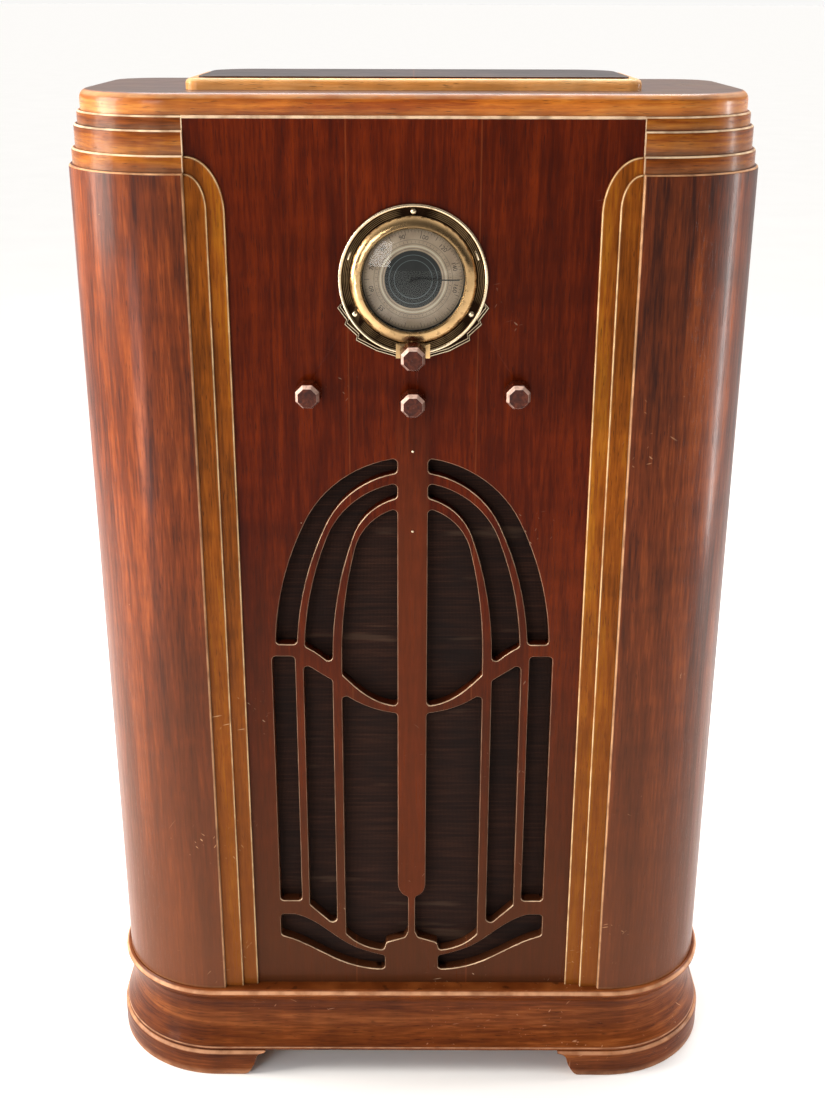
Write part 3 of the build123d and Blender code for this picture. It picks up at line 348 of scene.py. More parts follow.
# The lip's outer edge is drawn pale: partly worn and partly a painted highlight.
lip_round = [
    (lip - 1 * MM, foot_top, 0), (lip - 0.2 * MM, foot_top + 0.7 * MM, 0), (lip, foot_top + 2 * MM, 0),
    (lip - 0.2 * MM, foot_top + 3.4 * MM, 0.7), (lip - 0.5 * MM, foot_top + 4.5 * MM, 0),
]
hollow = curve_through([
    (lip - 0.5 * MM, foot_top + 4.5 * MM, 0.0),
    (1.5 * MM, foot_top + 18 * MM, 0.0),
    (-waist + 0.8 * MM, foot_top + 36 * MM, 0.0),
    (-waist + 0.6 * MM, foot_top + 52 * MM, 0.0),
    (0.0, plinth_top - bead_h - 1.5 * MM, 0.0),
], 6)[1:]
# The bead's upper curve is drawn pale: partly worn and partly a painted highlight.
bead_round = [
    (
        1.5 * MM + (bead - 1.5 * MM) * math.sin(math.pi * k / 10), plinth_top - bead_h * (1 - k / 10),
        0.85 if 6 <= k <= 8 else 0.0,
    )
    for k in range(11)
]
plinth_section = [(PLINTH_INNER, foot_top, 0)] + lip_round + hollow + bead_round + [
    (PLINTH_INNER, plinth_top, 0)
]
walnut_base = lacquered_walnut(
    "walnut_lacquered_base", "round", "#4A1E0A", "#703614", "#985426", worn_and_highlit="#D9A078", marks=1.0,
    rough=0.34, shine=0.4,
)
front_station = [(-corner_x, front_y, 0, -1, 0, 0), (corner_x, front_y, 0, -1, 0, 0)]
moulding(
    "plinth_front_length", [front_station], plinth_section, walnut_base,
    ["plinth_front"], sides=(1,),
)
moulding(
    "plinth_corner_lengths", [run_of(["bend"]), run_of(["rear"])], plinth_section,
    walnut_base, ["plinth_corners"],
)
moulding(
    "plinth_side_lengths", [run_of(["side"])], plinth_section, walnut_base,
    ["plinth_sides"],
)

# ------------------------------------------------------------------------------ feet
# Four low bracket feet of the same walnut, screwed up under the plinth at its corners. Each is
# sawn to a double curve at both ends, and its upper edge is rounded over.
foot_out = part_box("front_feet")[1].x - half_width
# A foot runs this far past the bend along the front and along the side; OGEE is its sawn end, as
# (along the foot, above the floor) in millimetres.
FOOT_FRONT, FOOT_SIDE = 50 * MM, 45 * MM
foot_x = corner_x - FOOT_FRONT
OGEE = [(0, 28), (8, 24.5), (12, 13), (18, 3), (24, 0)]
ogee_line = curve_through([(back * MM, up * MM) for back, up in OGEE], 5)
foot_section = [
    (PLINTH_INNER, 0, 0), (foot_out - 0.6 * MM, 0, 0.3), (foot_out, 0.6 * MM, 0.5), (foot_out, 8 * MM, 0),
    (foot_out, foot_top - 8 * MM, 0),
]
# The rounded upper edge is drawn pale: partly worn and partly a painted highlight.
foot_section += quarter_round(foot_out, foot_top, 5 * MM, worn_and_highlit=0.65) + [(PLINTH_INNER, foot_top, 0)]
front_foot = [(foot_x + back, front_y, 0, -1, 0, up) for back, up in ogee_line]
front_foot += run_of(["bend"])
front_foot += [(half_width, corner_y + FOOT_SIDE - back, 1, 0, 0, up) for back, up in reversed(ogee_line)]
rear_foot = [
    (half_width, rear_y - FOOT_SIDE + back, 1, 0, 0, up) for back, up in ogee_line
] + run_of(["rear"])
moulding("front_bracket_feet", [front_foot], foot_section, walnut_base, ["front_feet"])
moulding("rear_bracket_feet", [rear_foot], foot_section, walnut_base, ["rear_feet"])

# ------------------------------------------------------------------------------ bare boards
# The boards that nobody sees from the front are plain poplar and plywood, sawn, sanded once and
# left bare: the bottom board, the chassis shelf with its cleats, and the speaker baffle.


def smoothed(node, material, body="cabinet", sharp=32):
    """A CAD node's own shape, its loose triangles merged so that its curves take the light smoothly."""
    bm = bmesh.new()
    bm.from_mesh(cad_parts[node].data)
    return finish(node + "_piece", bm, [material], [node], body, sharp)


def bare_board(name, light, dark, grain):
    """Poplar, sawn and sanded once: the eye sees pale growth lines 6 mm apart, dull and dusty. grain
    is the pattern's scale along x, y and z, smallest along the board's fibres."""
    material, tree = new_material(name)
    place = add(tree, "TexCoord").outputs["Object"]
    along = add(tree, "Mapping", {"Vector": place, "Scale": grain})
    lines = add(
        tree, "TexNoise", {"Vector": along, "Scale": 1 / (6 * MM), "Detail": 4, "Distortion": 0.6}
    )
    fibres = add(tree, "TexNoise", {"Vector": along, "Scale": 1 / (0.7 * MM), "Detail": 2})
    dust = add(tree, "TexNoise", {"Vector": place, "Scale": 1 / (111 * MM), "Detail": 4})
    lines = add(tree, "Math", [lines, 0.7], operation="MULTIPLY")
    fibres = add(tree, "Math", [fibres, 0.3], operation="MULTIPLY")
    tone = add(tree, "Math", [lines, fibres], operation="ADD")
    colour = add(tree, "ValToRGB", [tone], stops=[(0.35, dark), (0.65, light)])
    dust = add(tree, "MapRange", [dust, 0.45, 0.75, 0.0, 0.5])
    colour = add(tree, "Mix", [dust, colour, linear("#4A3A2C")], data_type="RGBA")
    bump = add(tree, "Bump", {"Height": tone, "Strength": 0.5, "Distance": 0.4 * MM})
    shader = add(tree, "BsdfPrincipled", {
        "Base Color": colour, "Roughness": 0.78, "Normal": bump, "IOR": 1.45, "Specular IOR Level": 0.3,
    })
    add(tree, "OutputMaterial", {"Surface": shader})
    return material


poplar = bare_board("poplar_sawn_bare", "#A88458", "#7C5C38", (0.08, 1, 1))
for board in ("bottom_board", "chassis_shelf", "shelf_cleats", "speaker_baffle"):
    smoothed(board, poplar)

# ------------------------------------------------------------------------------ corner posts and walls
# The two front corners are bent walnut ply, a quarter circle with a short flat beside the panel.
# The sides and rear corners carry on from them. All are veneered upright and lacquered; the
# inside is bare. The upper edge is rounded where the cornice steps back from it.
walnut_posts = lacquered_walnut(
    "walnut_lacquered_posts", "up", "#381304", "#6A2C0C", "#96481A", foot_tint="#683A20", marks=1.2,
    rough=0.33, shine=0.55,
)
wall_in, wall_top = -14 * MM, post_high.z
wall_section = [
    (wall_in, plinth_top, 0), (0, plinth_top, 0.2), (0, plinth_top + 3 * MM, 0), (0, wall_top - 6 * MM, 0)
]
# The rounded upper edge is drawn pale along its middle: partly worn and partly a painted highlight.
wall_section += quarter_round(0, wall_top, 2.5 * MM) + [(wall_in, wall_top, 0)]


def bare_inside(piece, bare):
    """Gives the faces that look into the cabinet the bare board's material."""
    piece.data.materials.append(bare)
    for face in piece.data.polygons:
        inwards = Vector((-face.center.x, (front_y + back_y) / 2 - face.center.y, 0))
        if abs(face.normal.z) < 0.5 and face.normal.dot(inwards.normalized()) > 0.35:
            face.material_index = 1


poplar_up = bare_board("poplar_ply_inside", "#9C7A50", "#6E5234", (1, 1, 0.08))
for name, node, sense in (
    ("right_bent_post", "right_corner_post", 1), ("left_bent_post", "left_corner_post", -1)
):
    stations = run_of(["front", "bend"], panel_high.x, arris=2 * MM)
    bare_inside(
        moulding(name, [stations], wall_section, walnut_posts, [node], (sense,)),
        poplar_up,
    )
for name, node, part in (
    ("side_walls", "side_panels", "side"), ("rear_bent_posts", "rear_posts", "rear")
):
    bare_inside(
        moulding(name, [run_of([part])], wall_section, walnut_posts, [node]), poplar_up
    )

# ------------------------------------------------------------------------------ cornice bands
# Three walnut bands lie over the posts and sides, each set back from the one below. Their grain
# runs round the cabinet, and the rounded upper edge of each is drawn pale: partly worn through to
# the wood, partly a painted highlight.
walnut_bands = lacquered_walnut(
    "walnut_lacquered_bands", "round", "#4C1E06", "#8A440E", "#B46C22", worn_and_highlit="#F4D6AE", marks=0.7,
    rough=0.28, shine=0.35,
)
for node in ("lower_cornice_band", "middle_cornice_band", "upper_cornice_band"):
    low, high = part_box(node)
    set_back = high.x - half_width
    section = [(-22 * MM, low.z, 0), (set_back, low.z, 0.1), (set_back, high.z - 5 * MM, 0)]
    section += quarter_round(set_back, high.z, 2.6 * MM) + [(-22 * MM, high.z, 0)]
    stations = run_of(["front", "bend", "side", "rear"], panel_high.x + 0.05 * MM, arris=1 * MM)
    moulding(node + "_round", [stations], section, walnut_bands, [node])

# ------------------------------------------------------------------------------ top
# The top is one thick walnut board with its upper edge rounded well over, and on it a low raised
# board with a thin veneered cap in two leaves. Painted shade darkens the faces of the top that face
# up, and the cap is painted dark as shade; the raised board is painted pale amber as a highlight.
# The rounded edges are drawn pale, partly rubbed and partly a painted highlight.
top_low, top_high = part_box("top_board")
walnut_top = lacquered_walnut(
    "walnut_lacquered_top", "round", "#8E400E", "#C06C22", "#E09642", worn_and_highlit="#F6CC96", painted_top_shade=True,
    marks=0.8, rough=0.3, shine=1.0,
)
# The cap's dark colour is painted shade on the up-facing top.
walnut_cap_painted_shade = lacquered_walnut(
    "walnut_lacquered_cap_painted_shade", "round", "#241410", "#3C2A28", "#5A4038", worn_and_highlit="#C89A70", seams=(0.0,),
    marks=1.2, rough=0.36,
)


def outline_loop(x_half, y_front, y_back, r_front, r_back, steps=16):
    """A rectangle in plan with two sizes of rounded corner, as points round it."""
    corners = [
        (x_half - r_front, y_front + r_front, r_front, -90),
        (x_half - r_back, y_back - r_back, r_back, 0),
        (-x_half + r_back, y_back - r_back, r_back, 90),
        (-x_half + r_front, y_front + r_front, r_front, 180),
    ]
    made = []
    for x, y, radius, start in corners:
        for k in range(steps + 1):
            turn = math.radians(start + 90 * k / steps)
            made.append((x + radius * math.cos(turn), y + radius * math.sin(turn)))
    return made


# How much painted shade darkens a board at each level, from the underside up over the edge.
TOP_PAINTED_SHADE = (0.0,) * 8 + (0.53,) + (1.0,) * 4


def board(name, x_half, y_front, y_back, r_front, r_back, z_low, z_high, rounding, material, slot, nodes):
    """A flat board with rounded corners, its upper edge rounded over. The list of painted shade says
    how dark the lacquer is drawn at each level, from the underside up over the edge to the middle."""
    bm = bmesh.new()
    wear_and_highlight, painted_shade_on_top = (bm.verts.layers.float.new(layer) for layer in ("wear_and_highlight", "painted_shade_on_top"))
    levels = [(0, z_low, 0.1), (0, z_high - rounding - 3 * MM, 0)]
    levels += [(out, z, worn_and_highlit) for out, z, worn_and_highlit in quarter_round(0, z_high, rounding, 8, 0.25)]
    levels += [(-rounding - 4 * MM, z_high, 0), (-rounding - 5 * MM, z_high, 0)]
    rings = []
    for (out, z, worn_and_highlit), dark in zip(levels, TOP_PAINTED_SHADE):
        loop = outline_loop(x_half + out, y_front - out, y_back + out, r_front + out, r_back + out)
        ring = [bm.verts.new((x, y, z)) for x, y in loop]
        for vertex in ring:
            vertex[wear_and_highlight], vertex[painted_shade_on_top] = worn_and_highlit, dark
        rings.append(ring)
    skin(bm, rings)
    return finish(name, bm, [material], nodes)


top_inset = half_width - top_high.x
board(
    "top_board_rounded", top_high.x, top_low.y, top_high.y, corner_r - top_inset, rear_r - top_inset,
    top_low.z, top_high.z, 8 * MM, walnut_top, "walnut_top", ["top_board"],
)
riser_low, riser_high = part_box("top_riser")
CAP_H, CAP_INSET = 1.6 * MM, 10 * MM
# The raised board is painted a pale amber as a highlight on its lit front edge.
walnut_riser_painted_highlight = lacquered_walnut(
    "walnut_lacquered_raised_board_painted_highlight", "round", "#E89848", "#FFB468", "#FFCA88", worn_and_highlit="#FFE6BC", marks=0.8,
    rough=0.3, shine=1.0,
)
board(
    "raised_board", riser_high.x, riser_low.y, riser_high.y, 12 * MM, 40 * MM,
    riser_low.z, riser_high.z - CAP_H, 4.5 * MM, walnut_riser_painted_highlight, "walnut_top", ["top_riser"],
)
board(
    "raised_board_cap", riser_high.x - CAP_INSET, riser_low.y + CAP_INSET, riser_high.y - CAP_INSET,
    12 * MM, 40 * MM, riser_high.z - CAP_H, riser_high.z, 0.8 * MM, walnut_cap_painted_shade, "walnut_top", [],
)

# ------------------------------------------------------------------------------ front panel
# The panel is walnut veneer on ply, its grille cut through in one piece with the centre bar and
# the thin curved bars. Three leaves of veneer meet beside the middle. Every cut edge is eased.
SEAM_X, BAR_HALF_W = 57 * MM, 14 * MM
walnut_panel = lacquered_walnut(
    "walnut_lacquered_panel", "up", "#3C0E02", "#501603", "#682206", worn_and_highlit="#E2C09C", foot_tint="#52301C",
    seams=(-SEAM_X, SEAM_X), painted_highlight_line_z=panel_high.z, centre_leaf=BAR_HALF_W, figure_share=0.5, marks=0.9,
    rough=0.3, shine=0.25,
)
panel = smoothed("front_panel", walnut_panel, sharp=40)
panel.data.materials.append(poplar_up)
# The leaning cut edges are drawn pale: a little as wear, and strongly as a painted highlight on the sills
# that face up.
rim_wear_and_sill_highlight = panel.data.attributes.new("wear_and_highlight", "FLOAT", "FACE")
for face in panel.data.polygons:
    leans = 0.15 < -face.normal.y < 0.97
    rim_wear_and_sill_highlight.data[face.index].value = (0.95 if face.normal.z > 0.2 else 0.22) if leans else 0.0
    if face.normal.y > 0.9:
        face.material_index = 1

# ------------------------------------------------------------------------------ stepped strips
# Two solid strips stand on each side of the panel, one thicker than the other, and curve over at
# the top into the cornice. They were left lighter than the posts, and their rounded front edges are
# drawn pale, partly worn and partly a painted highlight.
walnut_strips = lacquered_walnut(
    "walnut_lacquered_strips", "up", "#5E2C04", "#8C480C", "#AE6A18", worn_and_highlit="#F2D09C", foot_tint="#7A421A",
    marks=0.8, rough=0.28, shine=0.3,
)
STRIP_ROUND = 1.2 * MM


def stepped_strip(name, node, free_x, bend_w, bend_h):
    """An upright strip whose free edge bends over at the top in a quarter of an ellipse."""
    low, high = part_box(node)
    fixed_x = high.x
    path = [(free_x, low.z, 1, 0), (free_x, high.z - bend_h, 1, 0)]
    for k in range(1, 25):
        turn = math.radians(90 * k / 24)
        x = free_x + bend_w * (1 - math.cos(turn))
        across = Vector((bend_h * math.cos(turn), -bend_w * math.sin(turn))).normalized()
        path.append((x, high.z - bend_h + bend_h * math.sin(turn), across.x, across.y))
    bm = bmesh.new()
    wear_and_highlight = bm.verts.layers.float.new("wear_and_highlight")
    section = [(0, high.y, 0), (0, low.y + STRIP_ROUND, 0.2)]
    # The middle of the front edge's round is drawn pale: partly worn and partly a painted highlight.
    for k in range(1, 5):
        turn = math.radians(22.5 * k)
        section.append(
            (
                STRIP_ROUND * (1 - math.cos(turn)), low.y + STRIP_ROUND * (1 - math.sin(turn)),
                0.9 if k in (2, 3) else 0.2,
            )
        )
    section.append((STRIP_ROUND * 1.6, low.y, 0))
    for sense in (1, -1):
        rings = []
        for x, z, nx, nz in path:
            ring = [
                bm.verts.new((sense * min(x + nx * inset, fixed_x), y, z + nz * inset))
                for inset, y, worn_and_highlit in section
            ]
            for vertex, (inset, y, worn_and_highlit) in zip(ring, section):
                vertex[wear_and_highlight] = worn_and_highlit
            ring += [
                bm.verts.new((sense * fixed_x, low.y, z - 0.5 * MM * nx)),
                bm.verts.new((sense * fixed_x, high.y, z - 0.5 * MM * nx)),
            ]
            rings.append(ring)
        skin(bm, rings)
    finish(name, bm, [walnut_strips], [node])


# Each strip's free edge, then how far its bend goes across and up.
inner_low, inner_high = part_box("inner_strips")
inner_x, outer_x = inner_high.x - 18 * MM, 160 * MM
stepped_strip("inner_strips_rounded", "inner_strips", inner_x, 17.5 * MM, 30 * MM)
stepped_strip("outer_strips_rounded", "outer_strips", outer_x, 32 * MM, 48 * MM)

# ------------------------------------------------------------------------------ grille cloth
# A sheet of dark woven rayon and cotton, stretched flat between the panel and the baffle. Its
# slubbed weft runs across; it has gone brown, with a few pulled threads and thin places.
cloth_low, cloth_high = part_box("grille_cloth")
cloth_w, cloth_h = cloth_high.x - cloth_low.x, cloth_high.z - cloth_low.z
CLOTH_ACROSS, CLOTH_UP = 96, 190
CLOTH_SLACK = 0.11 * MM
cloth_y = (cloth_low.y + cloth_high.y) / 2
cloth = bmesh.new()
rows = []
for j in range(CLOTH_UP + 1):
    z = cloth_low.z + cloth_h * j / CLOTH_UP
    row = []
    for i in range(CLOTH_ACROSS + 1):
        x = cloth_low.x + cloth_w * i / CLOTH_ACROSS
        slack = math.sin(math.pi * i / CLOTH_ACROSS) * math.sin(math.pi * j / CLOTH_UP)
        # Shallow waves about 90 mm apart across and 140 mm apart up, none of them quite straight.
        wave = math.sin(x * 70 + 3 * math.sin(z * 9)) + 0.6 * math.sin(z * 46 + 2 * math.sin(x * 21))
        row.append(cloth.verts.new((x, cloth_y + CLOTH_SLACK * slack * wave, z)))
    rows.append(row)
for below, above in zip(rows, rows[1:]):
    for i in range(CLOTH_ACROSS):
        cloth.faces.new((below[i], below[i + 1], above[i + 1], above[i]))
rayon, tree = new_material("rayon_cotton_slub_woven")
place = add(tree, "TexCoord").outputs["Object"]
# Woven rayon and cotton gives the eye a dull brown with fine broken lines across and browner,
# thinner places. The weft threads are drawn 1.5 mm apart, coarser than the real 1 mm, so that they
# show. A wave texture repeats 20 times in 2 pi units.
WAVE_REPEAT = 2 * math.pi / 20
weft_place = add(tree, "Mapping", {"Vector": place, "Scale": (0.05, 0.05, 1)})
slub = add(tree, "TexNoise", {"Vector": weft_place, "Scale": 1 / (3.2 * MM), "Detail": 3})
weft = add(
    tree, "TexWave",
    {"Vector": place, "Scale": WAVE_REPEAT / (1.508 * MM), "Distortion": 1.5, "Detail Scale": 2.0},
    bands_direction="Z",
)
warp = add(
    tree, "TexWave", {"Vector": place, "Scale": WAVE_REPEAT / (1.3195 * MM), "Distortion": 0.6},
    bands_direction="X",
)
stain = add(tree, "TexNoise", {"Vector": place, "Scale": 1 / (71.4 * MM), "Detail": 4})
thin_place = add(tree, "Mapping", {"Vector": place, "Scale": (0.12, 1, 1)})
thin = add(tree, "TexNoise", {"Vector": thin_place, "Scale": 1 / (14.3 * MM), "Detail": 3})
slub = add(tree, "Math", [slub, 0.55], operation="MULTIPLY")
weft = add(tree, "Math", [weft.outputs["Fac"], 0.3], operation="MULTIPLY")
warp = add(tree, "Math", [warp.outputs["Fac"], 0.15], operation="MULTIPLY")
weave = add(tree, "Math", [slub, weft], operation="ADD")
weave = add(tree, "Math", [weave, warp], operation="ADD")
cloth_colour = add(
    tree, "ValToRGB", [weave], stops=[(0.3, "#140905"), (0.55, "#241109"), (0.78, "#44281A")]
)
stain = add(tree, "MapRange", [stain, 0.45, 0.7, 0.0, 0.55])
cloth_colour = add(tree, "Mix", [stain, cloth_colour, linear("#0F0A08")], data_type="RGBA")
thin = add(tree, "MapRange", [thin, 0.66, 0.74, 0.0, 0.3])
cloth_colour = add(tree, "Mix", [thin, cloth_colour, linear("#5A4434")], data_type="RGBA")
cloth_bump = add(tree, "Bump", {"Height": weave, "Strength": 0.6, "Distance": 0.5 * MM})
rayon_shader = add(tree, "BsdfPrincipled", {
    "Base Color": cloth_colour, "Roughness": 0.85, "Normal": cloth_bump,
    "Specular IOR Level": 0.15, "Sheen Weight": 0.04, "Sheen Roughness": 0.5,
})
add(tree, "OutputMaterial", {"Surface": rayon_shader})
grille_cloth = finish(
    "grille_cloth_sheet", cloth, [rayon], ["grille_cloth"], weighted=False
)
thickness = grille_cloth.modifiers.new("cloth_thickness", "SOLIDIFY")
thickness.thickness, thickness.offset = 0.35 * MM, 0.0

# ------------------------------------------------------------------------------ escutcheon
# The dial surround is pressed and lacquered brass: a raised cone round the glass, a sunk channel
# with fine ribs, a rolled rim, and a stepped skirt with a boss for the tuning shaft. Three small
# domed screws hold it. The lacquer has gone dark in the hollows.
ring_low, ring_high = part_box("escutcheon")
glass_low, glass_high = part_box("dial_glass")
dial_z = (glass_low.z + glass_high.z) / 2
tuning_low, tuning_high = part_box("tuning_knob")
tuning_z = (tuning_low.z + tuning_high.z) / 2


def worn_brass(name, bright, dark, hollows):
    """Pressed brass under old lacquer: warm gold where rubbed, brown tarnish in the hollows.
    hollows is the share of tarnish away from the highest faces."""
    material, tree = new_material(name)
    place = add(tree, "TexCoord").outputs["Object"]
    depth = add(tree, "SeparateXYZ", {0: place}).outputs["Y"]
    sunk = add(tree, "MapRange", [depth, face_y - 3.1 * MM, face_y - 2.0 * MM, 0.0, hollows])
    spots = add(tree, "TexNoise", {"Vector": place, "Scale": 1 / (6.25 * MM), "Detail": 4})
    patches = add(tree, "TexNoise", {"Vector": place, "Scale": 1 / (31.25 * MM), "Detail": 3})
    patched = add(tree, "MapRange", [patches, 0.42, 0.75, 0.0, 0.45])
    tarnish = add(tree, "Math", [sunk, patched], operation="ADD")
    spotted = add(tree, "MapRange", [spots, 0.58, 0.7, 0.0, 0.3])
    tarnish = add(tree, "Math", [tarnish, spotted], operation="ADD")
    tarnish = add(tree, "Math", [tarnish, 1.0], operation="MINIMUM")
    colour = add(tree, "Mix", [tarnish, linear(bright), linear(dark)], data_type="RGBA")
    gloss = add(tree, "MapRange", [tarnish, 0.0, 1.0, 0.2, 0.48])
    bump = add(tree, "Bump", {"Height": spots, "Strength": 0.12, "Distance": 0.2 * MM})
    shader = add(tree, "BsdfPrincipled", {
        "Base Color": colour, "Roughness": gloss, "Normal": bump, "Metallic": 1.0,
    })
    add(tree, "OutputMaterial", {"Surface": shader})
    return material


brass = worn_brass("brass_pressed_lacquered", "#CCA674", "#1E120A", 0.95)
brass_bright = worn_brass("brass_rubbed_edges", "#F2DDBA", "#8A6A44", 0.1)
smoothed("escutcheon", brass, sharp=28)


def spun(name, profile, material, nodes=(), centre=(0.0, dial_z), steps=120, sharp=32):
    """A piece turned about a front-to-back axis from a closed line of (radius, y) points."""
    bm = bmesh.new()
    rings = []
    for k in range(steps):
        turn = 2 * math.pi * k / steps
        rings.append([
            bm.verts.new((centre[0] + r * math.cos(turn), y, centre[1] + r * math.sin(turn)))
            for r, y in profile
        ])
    skin(bm, rings, closed=True)
    return finish(name, bm, [material], nodes, "cabinet", sharp)


CHANNEL_Y = face_y - 1.8 * MM


def channel_arc(bm, radius, half_wide, rise, start, end):
    """A low ridge that follows the channel from one angle to another, fading out at its ends. Its
    radius, half its width and its rise are in millimetres."""
    rings = []
    for k in range(41):
        turn = math.radians(start + (end - start) * k / 40)
        swell = math.sin(math.pi * k / 40) ** 0.3
        ring = []
        for side, y in ((-1, 0.15), (-0.4, -rise * swell), (0.4, -rise * swell), (1, 0.15)):
            r = (radius + side * half_wide) * MM
            ring.append(
                bm.verts.new((r * math.cos(turn), CHANNEL_Y + y * MM, dial_z + r * math.sin(turn)))
            )
        rings.append(ring)
    skin(bm, rings)


ribs = bmesh.new()
for start, end in ((97, 203), (-23, 83), (217, 323)):
    for radius in (56.4, 57.8, 59.2, 60.6):
        channel_arc(ribs, radius, 0.36, 0.8, start, end)
finish("channel_ribs", ribs, [brass], sharp=25)

# Two short lugs of bare bright brass stand in the channel, one each side above the middle.
lugs = bmesh.new()
for start in (154, 17):
    channel_arc(lugs, 58.9, 1.3, 1.25, start, start + 9)
finish("channel_lugs", lugs, [brass_bright], sharp=25)

# The stepped skirt carries two raised lines that follow its edge, chased into the pressing.
SKIRT_EDGE = [
    (62.0, -19.5), (66.0, -24.0), (58.3, -34.5), (60.0, -38.5), (49.3, -48.5), (50.0, -52.5),
    (32.0, -62.0), (15.0, -67.0),
]
skirt_lines = bmesh.new()
for sense in (1, -1):
    for inset, width in ((0.1, 0.9), (2.4, 0.7)):
        rings = []
        for (x, z), before, after in zip(
            SKIRT_EDGE, [SKIRT_EDGE[0]] + SKIRT_EDGE[:-1], SKIRT_EDGE[1:] + [SKIRT_EDGE[-1]]
        ):
            away = Vector((x, z)).normalized()
            ring = []
            for back_in, y in (
                (inset + width, -1.9), (inset + width * 0.8, -2.5), (inset + width * 0.2, -2.5),
                (inset, -1.9),
            ):
                reach = max(Vector((x, z)).length - back_in, 62.4)
                ring.append(
                    skirt_lines.verts.new(
                        (sense * away.x * reach * MM, face_y + y * MM, dial_z + away.y * reach * MM)
                    )
                )
            rings.append(ring)
        skin(skirt_lines, rings)
finish("skirt_raised_lines", skirt_lines, [brass_bright], sharp=60)
spun(
    "rolled_rim",
    [
        (62.5 * MM, face_y - 3.1 * MM), (62.9 * MM, face_y - 3.5 * MM), (63.6 * MM, face_y - 3.6 * MM),
        (64.3 * MM, face_y - 3.4 * MM), (64.8 * MM, face_y - 2.9 * MM), (64.9 * MM, face_y - 2.2 * MM),
        (63.0 * MM, face_y - 2.4 * MM),
    ],
    brass_bright, sharp=60,
)
# Two small brass pins with round heads stand in the middle of the centre bar.
for name, pin_z in (("upper_bar_pin", 683 * MM), ("lower_bar_pin", 606 * MM)):
    head = [
        (0.0, face_y - 0.9 * MM), (0.6 * MM, face_y - 0.8 * MM), (1.1 * MM, face_y - 0.4 * MM),
        (1.3 * MM, face_y + 0.2 * MM), (0.0, face_y + 0.2 * MM),
    ]
    spun(name, head, brass_bright, centre=(0.0, pin_z), steps=20)

# Screws and printed marks repeat round the dial, so both come from one node tree that sets a
# piece round a circle in the plane of the panel.


def around_dial(name, unit, material, count, radius, first, sweep, y, nodes=(), body="cabinet"):
    """Copies of unit, drawn at the origin along +X, set count times round a circle about the dial."""
    tree = bpy.data.node_groups.new(name, "GeometryNodeTree")
    inputs = {}
    for label, kind in (
        ("Unit", "NodeSocketObject"), ("Count", "NodeSocketInt"), ("Radius", "NodeSocketFloat"),
        ("First Angle", "NodeSocketFloat"), ("Angle Step", "NodeSocketFloat"),
        ("Centre", "NodeSocketVector"), ("Finish", "NodeSocketMaterial"),
    ):
        inputs[label] = tree.interface.new_socket(label, in_out="INPUT", socket_type=kind).identifier
    tree.interface.new_socket("Geometry", in_out="OUTPUT", socket_type="NodeSocketGeometry")
    start = add(tree, "NodeGroupInput").outputs
    line = add(tree, "GeometryNodeMeshLine", {"Count": start["Count"], "Offset": (0, 0, 0)})
    index = add(tree, "GeometryNodeInputIndex")
    angle = add(tree, "Math", [index, start["Angle Step"]], operation="MULTIPLY")
    angle = add(tree, "Math", [angle, start["First Angle"]], operation="ADD")
    x, z = add(tree, "Math", [angle], operation="COSINE"), add(tree, "Math", [angle], operation="SINE")
    x, z = add(
        tree, "Math", [x, start["Radius"]], operation="MULTIPLY"
    ), add(tree, "Math", [z, start["Radius"]], operation="MULTIPLY")
    spot = add(tree, "CombineXYZ", {0: x, 2: z})
    spot = add(tree, "VectorMath", {0: spot, 1: start["Centre"]}, operation="ADD")
    placed = add(tree, "GeometryNodeSetPosition", {"Geometry": line, "Position": spot})
    turned = add(tree, "Math", [angle, -1.0], operation="MULTIPLY")
    facing = add(tree, "CombineXYZ", {1: turned})
    source = add(tree, "GeometryNodeObjectInfo", {"Object": start["Unit"], "As Instance": True})
    copies = add(tree, "GeometryNodeInstanceOnPoints", {
        "Points": placed, "Instance": source.outputs["Geometry"], "Rotation": facing,
    })
    solid = add(tree, "GeometryNodeRealizeInstances", {0: copies})
    painted = add(tree, "GeometryNodeSetMaterial", {"Geometry": solid, "Material": start["Finish"]})
    add(tree, "NodeGroupOutput", {0: painted})
    piece = bpy.data.objects.new(name, bpy.data.meshes.new(name))
    bpy.context.scene.collection.objects.link(piece)
    modifier = piece.modifiers.new(name, "NODES")
    modifier.node_group = tree
    values = {
        "Unit": unit, "Count": count, "Radius": radius, "First Angle": math.radians(first),
        "Angle Step": math.radians(sweep / count), "Centre": (0.0, y, dial_z), "Finish": material,
    }
    for label, value in values.items():
        modifier[inputs[label]] = value
    bpy.context.view_layer.update()
    made = bpy.data.meshes.new_from_object(piece.evaluated_get(bpy.context.evaluated_depsgraph_get()))
    piece.modifiers.clear()
    piece.data = made
    bpy.data.objects.remove(unit)
    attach(piece, body)
    if nodes:
        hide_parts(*nodes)
    return piece


def unit_piece(bm):
    """A mesh to be repeated, as an object that the node tree can read."""
    bmesh.ops.recalc_face_normals(bm, faces=bm.faces)
    mesh = bpy.data.meshes.new("unit")
    bm.to_mesh(mesh)
    bm.free()
    mesh.shade_smooth()
    mesh.set_sharp_from_angle(angle=math.radians(40))
    unit = bpy.data.objects.new("unit", mesh)
    bpy.context.scene.collection.objects.link(unit)
    return unit


